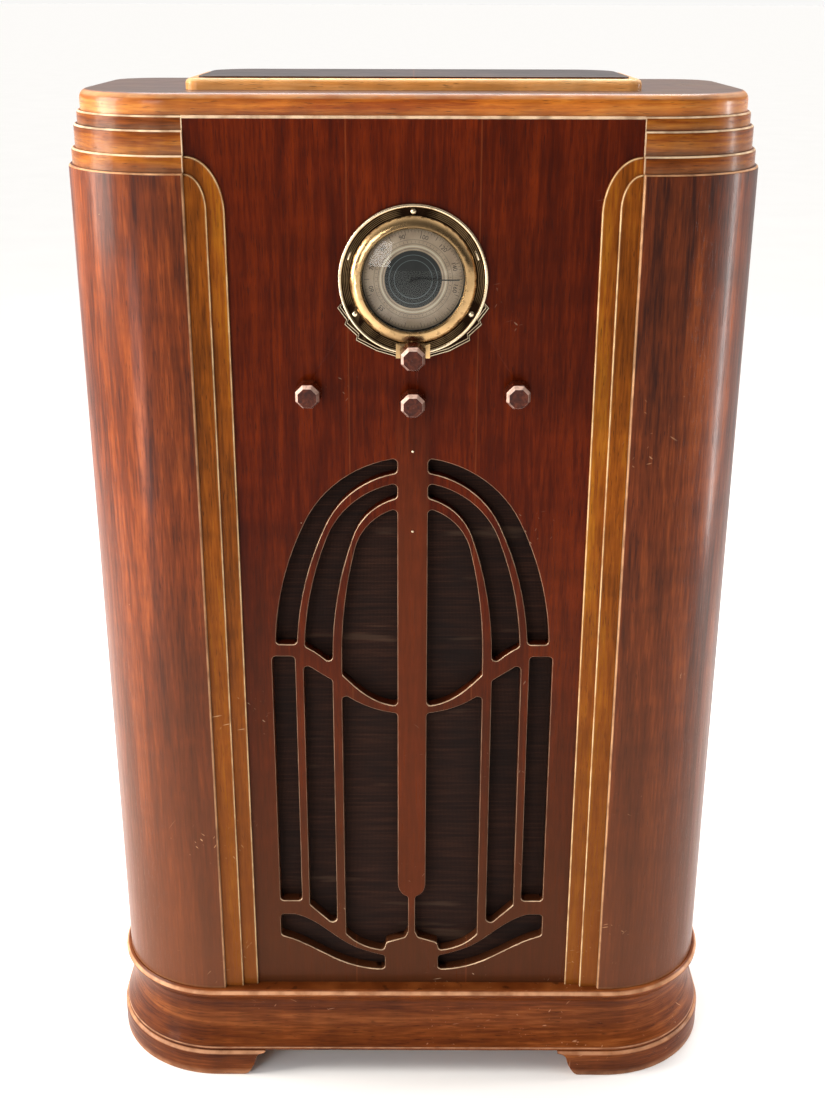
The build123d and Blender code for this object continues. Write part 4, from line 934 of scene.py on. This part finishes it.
screw = bmesh.new()
rings = []
for radius, y in (
    (0.02, -1.5), (0.8, -1.45), (1.6, -1.2), (2.2, -0.8), (2.55, -0.25), (2.6, 0.0), (1.4, 0.0),
    (1.4, 9.0), (0.02, 9.0),
):
    rings.append(
        [
            screw.verts.new(
                (
                    radius * MM * math.cos(k * math.pi / 12), y * MM,
                    radius * MM * math.sin(k * math.pi / 12),
                )
            )
            for k in range(24)
        ]
    )
skin(screw, rings)
around_dial(
    "escutcheon_domed_screws", unit_piece(screw), brass_bright, 3, 58.5 * MM, 90, 360,
    face_y - 1.8 * MM, ["escutcheon_screws"],
)

# ------------------------------------------------------------------------------ dial
# The dial plate is aluminium, printed in cream and grey that has yellowed, with a dark blue-black
# centre ringed by fine lines. Its scale is printed in dark ink round the rim.
plate_low, plate_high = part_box("dial_plate")
dial_print, tree = new_material("aluminium_printed_dial")
place = add(tree, "TexCoord").outputs["Object"]
centred = add(tree, "Mapping", {"Vector": place, "Location": (0, -plate_low.y, -dial_z)})
flat = add(tree, "VectorMath", {0: centred, 1: (1, 0, 1)}, operation="MULTIPLY")
radius = add(tree, "VectorMath", {0: flat}, operation="LENGTH").outputs["Value"]
age = add(tree, "TexNoise", {"Vector": place, "Scale": 1 / (16.7 * MM), "Detail": 4})
dial_colour = add(tree, "ValToRGB", [age], stops=[(0.35, "#9C8470"), (0.7, "#BCA48E")])
for ring_mm, width_mm, strength, tint in (
    (34.0, 0.45, 0.55, "#5A5246"), (42.5, 0.35, 0.5, "#5A5246"), (30.5, 0.5, 0.6, "#4A463E"),
    (28.4, 0.9, 0.7, "#D8CEB8"), (26.6, 0.4, 0.7, "#3A3A3A"),
):
    gap = add(tree, "Math", [radius, ring_mm * MM], operation="SUBTRACT")
    gap = add(tree, "Math", [gap], operation="ABSOLUTE")
    line = add(tree, "MapRange", [gap, width_mm * MM, width_mm * 0.4 * MM, 0.0, strength])
    dial_colour = add(tree, "Mix", [line, dial_colour, linear(tint)], data_type="RGBA")
middle = add(tree, "MapRange", [radius, 25.2 * MM, 24.6 * MM])
dial_colour = add(tree, "Mix", [middle, dial_colour, linear("#05070A")], data_type="RGBA")
for ring_mm in (21.0, 16.5):
    gap = add(tree, "Math", [radius, ring_mm * MM], operation="SUBTRACT")
    gap = add(tree, "Math", [gap], operation="ABSOLUTE")
    line = add(tree, "MapRange", [gap, 0.35 * MM, 0.1 * MM, 0.0, 0.5])
    dial_colour = add(tree, "Mix", [line, dial_colour, linear("#8C98A0")], data_type="RGBA")
edge_shade = add(tree, "MapRange", [radius, 40 * MM, 48 * MM, 0.0, 0.55])
dial_colour = add(tree, "Mix", [edge_shade, dial_colour, linear("#4C4236")], data_type="RGBA")
dial_shader = add(tree, "BsdfPrincipled", {"Base Color": dial_colour, "Roughness": 0.5, "IOR": 1.5})
add(tree, "OutputMaterial", {"Surface": dial_shader})
smoothed("dial_plate", dial_print)

# Screen-printed ink gives the eye a flat dark line that has gone a little brown and uneven.
ink, tree = new_material("printing_ink_dark")
place = add(tree, "TexCoord").outputs["Object"]
ink_noise = add(tree, "TexNoise", {"Vector": place, "Scale": 1 / (1.111 * MM)})
ink_colour = add(tree, "ValToRGB", [ink_noise], stops=[(0.3, "#14110D"), (0.7, "#241F18")])
ink_shader = add(tree, "BsdfPrincipled", {"Base Color": ink_colour, "Roughness": 0.55})
add(tree, "OutputMaterial", {"Surface": ink_shader})
PRINT_T = 0.04 * MM


def tick(length, width):
    """One printed mark of the scale, lying along +X."""
    bm = bmesh.new()
    bmesh.ops.create_cube(bm, size=1.0, matrix=Matrix.Diagonal((length, PRINT_T, width, 1)))
    return unit_piece(bm)


around_dial(
    "scale_fine_marks", tick(2.2 * MM, 0.22 * MM), ink, 90, 41.2 * MM, 0, 360,
    plate_low.y - PRINT_T / 2,
)
around_dial(
    "scale_long_marks", tick(4.2 * MM, 0.4 * MM), ink, 18, 40.2 * MM, 0, 360,
    plate_low.y - PRINT_T / 2,
)
around_dial(
    "scale_inner_marks", tick(1.6 * MM, 0.25 * MM), ink, 60, 32.2 * MM, 3, 360,
    plate_low.y - PRINT_T / 2,
)
numbers = bmesh.new()
for k, number in enumerate(("55", "60", "70", "80", "90", "100", "120", "140", "160")):
    turn = math.radians(222 - 29.2 * k)
    text = bpy.data.curves.new("number", "FONT")
    text.body, text.size, text.extrude = number, 5.4 * MM, PRINT_T / 2
    text.align_x, text.align_y = "CENTER", "CENTER"
    holder = bpy.data.objects.new("number", text)
    bpy.context.scene.collection.objects.link(holder)
    bpy.context.view_layer.update()
    flat_text = bpy.data.meshes.new_from_object(
        holder.evaluated_get(bpy.context.evaluated_depsgraph_get())
    )
    spot = Vector(
        (37 * MM * math.cos(turn), plate_low.y - PRINT_T / 2, dial_z + 37 * MM * math.sin(turn))
    )
    lean = Matrix.Rotation(-(turn - math.pi / 2), 4, "Y")
    flat_text.transform(Matrix.Translation(spot) @ lean @ Euler((math.pi / 2, 0, 0)).to_matrix().to_4x4())
    numbers.from_mesh(flat_text)
    bpy.data.objects.remove(holder)
finish("scale_numbers", numbers, [ink], weighted=False)


def plain_metal(name, colour, dark, rough, metallic=1.0, spot=4.545 * MM):
    """Sheet or turned metal that has dulled, or a plain moulding: the eye sees an even tone with
    darker spots as wide as spot and soft dust. metallic is 0 under paint, and for rubber."""
    material, tree = new_material(name)
    place = add(tree, "TexCoord").outputs["Object"]
    spots = add(tree, "TexNoise", {"Vector": place, "Scale": 1 / spot, "Detail": 5})
    broad = add(tree, "TexNoise", {"Vector": place, "Scale": 1 / (6 * spot), "Detail": 3})
    spotted = add(tree, "MapRange", [spots, 0.55, 0.75, 0.0, 0.5])
    dusty = add(tree, "MapRange", [broad, 0.35, 0.75, 0.0, 0.6])
    dull = add(tree, "Math", [spotted, dusty], operation="ADD")
    dull = add(tree, "Math", [dull, 1.0], operation="MINIMUM")
    tone = add(tree, "Mix", [dull, linear(colour), linear(dark)], data_type="RGBA")
    gloss = add(tree, "MapRange", [dull, 0.0, 1.0, rough, min(rough + 0.25, 1.0)])
    bump = add(tree, "Bump", {"Height": spots, "Strength": 0.1, "Distance": 0.3 * MM})
    shader = add(tree, "BsdfPrincipled", {
        "Base Color": tone, "Roughness": gloss, "Normal": bump, "Metallic": metallic,
    })
    add(tree, "OutputMaterial", {"Surface": shader})
    return material


# The pointer and its hub are thin steel, painted matt black, on the condenser shaft.
pointer_black = plain_metal("steel_painted_black", "#100E0C", "#080706", 0.5, 0.0)
smoothed("dial_pointer", pointer_black, "dial_drive")

# ------------------------------------------------------------------------------ dial glass
# A pressed soda glass like a watch's, domed, held between the brass and the panel on a rubber
# ring. It is clear and smeared in places, and takes the shine of the windows.
glass, tree = new_material("soda_glass_pressed")
place = add(tree, "TexCoord").outputs["Object"]
smear = add(tree, "TexNoise", {"Vector": place, "Scale": 1 / (22.2 * MM), "Detail": 4})
glass_rough = add(tree, "MapRange", [smear, 0.55, 0.8, 0.0, 0.12])
glass_shader = add(tree, "BsdfPrincipled", {
    "Base Color": linear("#F8FAF6"), "Roughness": glass_rough, "IOR": 1.22, "Transmission Weight": 1.0,
})
add(tree, "OutputMaterial", {"Surface": glass_shader})
glass_r = (glass_high.z - glass_low.z) / 2
dome_r, glass_t, edge_y = 44 * MM, 1.5 * MM, face_y - 2 * MM
sag = edge_y - glass_low.y
ball = (dome_r ** 2 + sag ** 2) / (2 * sag)
lean_most = math.asin(dome_r / ball)
outer = [
    (ball * math.sin(lean_most * k / 20), glass_low.y + ball * (1 - math.cos(lean_most * k / 20)))
    for k in range(21)
]
inner_ball = ball - glass_t
inner = [
    (
        inner_ball * math.sin(lean_most * k / 20),
        glass_low.y + ball - inner_ball * math.cos(lean_most * k / 20),
    )
    for k in range(20, -1, -1)
]
rim = [(glass_r, edge_y), (glass_r, glass_high.y), (inner[0][0] - 0.2 * MM, glass_high.y)]
spun("dial_glass_dome", outer + rim + inner, glass, ["dial_glass"], steps=96)
# Moulded rubber gives the eye a dull black that has greyed with dust.
rubber = plain_metal("rubber_moulded_black", "#1C1A18", "#2C2824", 0.7, 0.0)
smoothed("glass_ring", rubber)

# ------------------------------------------------------------------------------ knobs
# Four eight-sided knobs of mottled brown phenolic resin, compression moulded and buffed. The mould
# left soft arrises; the flat face and the bevels round it have a deep shine.
phenolic, tree = new_material("phenolic_moulded_brown")
place = add(tree, "TexCoord").outputs["Object"]
mottle = add(
    tree, "TexNoise", {"Vector": place, "Scale": 1 / (5.26 * MM), "Detail": 4, "Distortion": 1.0}
)
scuff = add(tree, "TexNoise", {"Vector": place, "Scale": 1 / (2.38 * MM), "Detail": 3})
phenolic_colour = add(
    tree, "ValToRGB", [mottle], stops=[(0.35, "#34130A"), (0.55, "#4C1E10"), (0.75, "#622C18")]
)
# The bevels are drawn a paler pink-brown the more they face up and to the left: a painted highlight, with
# a little rubbing wear.
painted_facet_highlight = add(tree, "Attribute", attribute_name="wear_and_highlight").outputs["Fac"]
facet_highlight_patchiness = add(tree, "MapRange", [mottle, 0.3, 0.6, 0.6, 1.0])
painted_facet_highlight = add(tree, "Math", [painted_facet_highlight, facet_highlight_patchiness], operation="MULTIPLY")
phenolic_colour = add(tree, "Mix", [painted_facet_highlight, phenolic_colour, linear("#FFD6C2")], data_type="RGBA")
phenolic_bump = add(tree, "Bump", {"Height": scuff, "Strength": 0.15, "Distance": 0.2 * MM})
phenolic_gloss = add(tree, "MapRange", [scuff, 0.4, 0.7, 0.15, 0.3])
phenolic_shader = add(
    tree, "BsdfPrincipled",
    {
        "Base Color": phenolic_colour, "Roughness": phenolic_gloss, "Normal": phenolic_bump, "IOR": 1.6,
        "Specular IOR Level": 0.12, "Coat Weight": 0.15, "Coat Roughness": 0.08,
    },
)
add(tree, "OutputMaterial", {"Surface": phenolic_shader})
# Turned steel is bright, with fine brown spots.
steel = plain_metal("steel_turned_bright", "#B4B0A8", "#6E675C", 0.3)
# Radius at the back, at the shoulder and at the flat face, and the bevel's length, in millimetres.
KNOB_R, SHOULDER_R, FACE_R, BEVEL_LENGTH = 12.3, 11.4, 9.0, 5.5
for body in ("volume", "tone", "band", "tuning"):
    knob_low, knob_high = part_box(body + "_knob")
    x0, z0 = (knob_low.x + knob_high.x) / 2, (knob_low.z + knob_high.z) / 2
    length = (knob_high.y - knob_low.y) / MM
    bm = bmesh.new()
    rings = []
    for radius, y in ((KNOB_R, length), (SHOULDER_R, BEVEL_LENGTH), (FACE_R, 0.0)):
        ring = []
        for k in range(8):
            turn = math.radians(22.5 + 45 * k)
            ring.append(
                bm.verts.new(
                    (
                        x0 + radius * MM * math.cos(turn), knob_low.y + y * MM,
                        z0 + radius * MM * math.sin(turn),
                    )
                )
            )
        rings.append(ring)
    skin(bm, rings)
    bmesh.ops.bevel(
        bm, geom=bm.edges[:], offset=0.45 * MM, segments=3, profile=0.5, affect="EDGES",
        clamp_overlap=True,
    )
    knob = finish(
        body + "_knob_moulded", bm, [phenolic], [body + "_knob"], body, sharp=50
    )
    # Painted highlight on the bevels: paler the more they face up and to the left.
    rubbed_and_highlit = knob.data.attributes.new("wear_and_highlight", "FLOAT", "FACE")
    for face in knob.data.polygons:
        leans = 0.25 < -face.normal.y < 0.9
        rubbed_and_highlit.data[face.index].value = min(
            max(0.45 + 0.6 * face.normal.z - 0.25 * face.normal.x, 0.08), 1.0
        ) if leans else 0.0
    smoothed(body + "_shaft", steel, body)

# ------------------------------------------------------------------------------ loudspeaker
# A ten-inch energised loudspeaker bolted to the back of the baffle: a pressed steel basket with
# four windows, a pulp paper cone, and a field coil inside a heavy iron pot.
# Painted steel is a worn dark grey; cast iron is blacker and rougher. Moulded paper pulp is matt
# and fibrous, with soot in the fibres, which are drawn 2 mm wide so that they show.
pressed_steel = plain_metal("steel_pressed_painted", "#3A3835", "#24211E", 0.45, 0.6)
iron = plain_metal("iron_cast_black", "#33302C", "#1E1A16", 0.55, 0.7)
pulp, tree = new_material("paper_pulp_moulded")
place = add(tree, "TexCoord").outputs["Object"]
fibre = add(tree, "TexNoise", {"Vector": place, "Scale": 1 / (2 * MM), "Detail": 5})
soot = add(tree, "TexNoise", {"Vector": place, "Scale": 1 / (50 * MM), "Detail": 3})
pulp_colour = add(tree, "ValToRGB", [fibre], stops=[(0.35, "#2A2420"), (0.7, "#4C433A")])
soot = add(tree, "MapRange", [soot, 0.4, 0.7, 0.0, 0.5])
pulp_colour = add(tree, "Mix", [soot, pulp_colour, linear("#1C1815")], data_type="RGBA")
pulp_bump = add(tree, "Bump", {"Height": fibre, "Strength": 0.5, "Distance": 0.4 * MM})
pulp_shader = add(
    tree, "BsdfPrincipled", {"Base Color": pulp_colour, "Roughness": 0.9, "Normal": pulp_bump}
)
add(tree, "OutputMaterial", {"Surface": pulp_shader})
smoothed("speaker_basket", pressed_steel)
smoothed("speaker_cone", pulp, "cone")
smoothed("cone_surround", pulp)
smoothed("magnet_pot", iron)
smoothed("speaker_bolts", steel)
smoothed("output_transformer", iron)

# ------------------------------------------------------------------------------ chassis
# The chassis is a folded pan of steel, cadmium plated and now dull and spotted, on the shelf
# behind the panel. It carries the mains transformer, the cans and the valves.
# Cadmium plate is grey and matt with wide dull patches; drawn aluminium is cleaner and paler.
# Enamelled wire is copper brown; the mouldings are black and a little glossy.
cadmium = plain_metal("steel_cadmium_plated", "#A29E90", "#7C7666", 0.42, spot=22.2 * MM)
aluminium = plain_metal("aluminium_drawn_cans", "#B8B6B0", "#77736A", 0.36)
copper = plain_metal("copper_enamelled_wire", "#8A4A22", "#4A2412", 0.4)
phenolic_black = plain_metal("phenolic_moulded_black", "#17130F", "#2A241E", 0.35, 0.0)
for node, material, slot, body in (
    ("chassis", cadmium, "plated_steel", "cabinet"),
    ("chassis_bolts", steel, "bright_steel", "cabinet"),
    ("power_transformer", iron, "black_steel", "cabinet"),
    ("chassis_cans", aluminium, "can_aluminium", "cabinet"),
    ("shielded_tubes", aluminium, "can_aluminium", "cabinet"),
    ("tube_bases", phenolic_black, "black_bakelite", "cabinet"),
    ("aerial_terminals", phenolic_black, "black_bakelite", "cabinet"),
    ("cord_grommet", rubber, "black_rubber", "cabinet"),
    ("field_coil", copper, "coil_wire", "cabinet"),
    ("condenser_frame", cadmium, "plated_steel", "cabinet"),
    ("condenser_rotor", aluminium, "bright_steel", "dial_drive"),
    ("drive_disc", steel, "bright_steel", "dial_drive"),
    ("tuning_shaft", steel, "bright_steel", "tuning"),
    ("dial_bracket", cadmium, "plated_steel", "cabinet"),
    ("volume_control", cadmium, "plated_steel", "cabinet"),
    ("tone_control", cadmium, "plated_steel", "cabinet"),
    ("band_switch", cadmium, "plated_steel", "cabinet"),
    ("dial_lamps", glass, "clear_glass", "cabinet"),
):
    piece = smoothed(node, material, body)
    if node == "condenser_rotor":
        # The end of its shaft, which shows at the middle of the dial, is painted like the pointer.
        piece.data.materials.append(pointer_black)
        for face in piece.data.polygons:
            if face.center.y < plate_low.y + 1 * MM:
                face.material_index = 1

# ------------------------------------------------------------------------------ glass valves
# Three valves are bare glass: a blown bulb with a rounded top, pushed into a phenolic base. Inside
# stands a ribbed anode of carbonised nickel between two spacer discs, on four thin supports.
bulb_low, bulb_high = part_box("glass_tubes")
BULB_WALL = 0.9 * MM
# Each valve: its place across and back from the panel, its radius and its height, in millimetres.
VALVES = ((-50, 190, 19.5, 46), (-5, 205, 19.5, 46), (140, 65, 14, 22))
# Carbonised nickel is a soft dark grey that hardly shines.
nickel = plain_metal("nickel_carbonised", "#4A4844", "#2A2826", 0.5, 0.8)


def turned_upright(bm, x, y, section, steps=40):
    """Adds a piece turned about a vertical axis at x, y from closed (radius, z) points."""
    rings = []
    for k in range(steps):
        turn = 2 * math.pi * k / steps
        rings.append(
            [bm.verts.new((x + r * math.cos(turn), y + r * math.sin(turn), z)) for r, z in section]
        )
    skin(bm, rings, closed=True)


def bulb_line(radius, low, high):
    """The outside of a bulb, from its open foot up over the rounded shoulder to the middle."""
    shoulder = radius * 0.6
    line = [(radius, low)]
    for k in range(9):
        turn = math.radians(90 * k / 8)
        line.append((radius - shoulder * (1 - math.cos(turn)), high - shoulder * (1 - math.sin(turn))))
    return line + [(0.0, high)]


bulbs, electrodes = bmesh.new(), bmesh.new()
for x, y, radius, height in VALVES:
    x, y, radius = x * MM, face_y + y * MM, radius * MM
    low, high = bulb_low.z, bulb_low.z + height * MM
    wall = bulb_line(radius, low, high) + bulb_line(radius - BULB_WALL, low, high - BULB_WALL)[::-1]
    turned_upright(bulbs, x, y, wall)
    foot, head, anode_r = low + 5 * MM, high - radius * 0.55, radius * 0.42
    ribbed = [(0.0, foot), (anode_r, foot)]
    for k in range(1, 8):
        ribbed.append((anode_r * (1.12 if k % 2 else 1.0), foot + (head - foot) * k / 8))
    turned_upright(electrodes, x, y, ribbed + [(anode_r, head), (0.0, head)], 24)
    for z in (foot - 1.5 * MM, head + 1 * MM):
        turned_upright(
            electrodes, x, y,
            [(0.0, z), (radius * 0.72, z), (radius * 0.72, z + 0.5 * MM), (0.0, z + 0.5 * MM)], 24,
        )
    for k in range(4):
        turn = math.radians(45 + 90 * k)
        support_x, support_y = x + radius * 0.6 * math.cos(turn), y + radius * 0.6 * math.sin(turn)
        rod = [
            (0.0, low - 1 * MM), (0.5 * MM, low - 1 * MM), (0.5 * MM, head + 2 * MM), (0.0, head + 2 * MM)
        ]
        turned_upright(electrodes, support_x, support_y, rod, 8)
finish("valve_bulbs", bulbs, [glass], ["glass_tubes"])
finish("valve_electrodes", electrodes, [nickel])

# ------------------------------------------------------------------------------ floor, light, camera
# A plain pale floor of matt paint, and soft light: wide windows at the left and in front, a small
# low one, a tall narrow one at the right, and a skylight. The room is dim at the horizon and
# bright overhead, so that the lacquer keeps its colour.
FLOOR_HALF = 3000.0
floor_mesh = bmesh.new()
bmesh.ops.create_grid(floor_mesh, x_segments=2, y_segments=2, size=FLOOR_HALF)
floor_data = bpy.data.meshes.new("floor")
floor_mesh.to_mesh(floor_data)
floor_mesh.free()
floor = bpy.data.objects.new("floor", floor_data)
bpy.context.scene.collection.objects.link(floor)
paper, tree = new_material("floor_pale_paint")
place = add(tree, "TexCoord").outputs["Object"]
paper_noise = add(tree, "TexNoise", {"Vector": place, "Scale": 1 / (333 * MM)})
paper_colour = add(tree, "ValToRGB", [paper_noise], stops=[(0.0, "#F6F5F3"), (1.0, "#FBFAF8")])
paper_shader = add(
    tree, "BsdfPrincipled", {"Base Color": paper_colour, "Roughness": 0.9, "Specular IOR Level": 0.1}
)
add(tree, "OutputMaterial", {"Surface": paper_shader})
floor_data.materials.append(paper)

world = bpy.data.worlds.new("even_light")
world.use_nodes = True
tree = world.node_tree
direction = add(tree, "TexCoord").outputs["Generated"]
_, behind, up = add(tree, "SeparateXYZ", [direction]).outputs
overhead = add(tree, "MapRange", [up, 0.12, 0.55, 0.2, 1.5])
horizon = add(tree, "MapRange", [up, 0.03, 0.01, 0.0, 0.8])
overhead = add(tree, "Math", [overhead, horizon], operation="ADD")
from_behind = add(tree, "MapRange", [behind, -0.6, 0.3, 0.1, 1.25])
strength = add(tree, "Math", [overhead, from_behind], operation="MULTIPLY")
# What the camera sees past the floor is a plain pale wall, whatever the room throws on the lacquer.
seen = add(tree, "LightPath").outputs["Is Camera Ray"]
plain_wall = add(tree, "Math", [seen, 0.96], operation="MULTIPLY")
unseen = add(tree, "Math", [1.0, seen], operation="SUBTRACT")
strength = add(tree, "Math", [strength, unseen], operation="MULTIPLY")
strength = add(tree, "Math", [plain_wall, strength], operation="ADD")
tree.links.new(strength.outputs[0], tree.nodes["Background"].inputs["Strength"])
tree.nodes["Background"].inputs["Color"].default_value = (1.0, 0.99, 0.98, 1.0)
bpy.context.scene.world = world


def soft_light(name, place, aim, size, watts, colour):
    """A window or skylight: a soft rectangle of size metres at place, turned towards aim."""
    light = bpy.data.lights.new(name, "AREA")
    light.shape, light.size, light.size_y = "RECTANGLE", size[0], size[1]
    light.energy, light.color = watts, colour
    holder = bpy.data.objects.new(name, light)
    bpy.context.scene.collection.objects.link(holder)
    holder.location = place
    holder.rotation_euler = (Vector(aim) - Vector(place)).to_track_quat("-Z", "Y").to_euler()


soft_light("window_left", (-2.1, -0.25, 1.2), (-0.1, 0, 0.55), (1.0, 1.4), 75, (1.0, 0.95, 0.88))
soft_light("window_left_low", (-1.5, -1.05, 0.35), (-0.2, 0, 0.6), (0.35, 0.5), 5, (0.92, 0.95, 1.0))
soft_light("window_right_behind", (1.7, 0.12, 0.62), (0.25, 0, 0.7), (0.16, 1.1), 15, (1.0, 0.97, 0.94))
soft_light("window_front", (-1.4, -2.35, 1.5), (0, 0, 0.8), (1.0, 1.1), 28, (0.96, 0.97, 1.0))
soft_light("skylight", (0.1, 0.95, 2.4), (0, -0.1, 0.85), (1.8, 0.8), 44, (1.0, 0.98, 0.96))

CAMERA_BACK, CAMERA_UP = 1.233, 1.061
PITCH, ROLL = 21.0, 0.15
SENSOR, LENS = 36.0, 46.64
camera_data = bpy.data.cameras.new("camera")
camera_data.sensor_width, camera_data.lens = SENSOR, LENS
camera = bpy.data.objects.new("camera", camera_data)
bpy.context.scene.collection.objects.link(camera)
turned_down = Euler((math.radians(90 - PITCH), 0, 0)).to_matrix()
camera.matrix_world = Matrix.Translation((0, face_y - CAMERA_BACK, CAMERA_UP)) @ (
    turned_down @ Matrix.Rotation(math.radians(ROLL), 3, "Z")
).to_4x4()
bpy.context.scene.camera = camera
bpy.context.scene.view_settings.view_transform = "Standard"
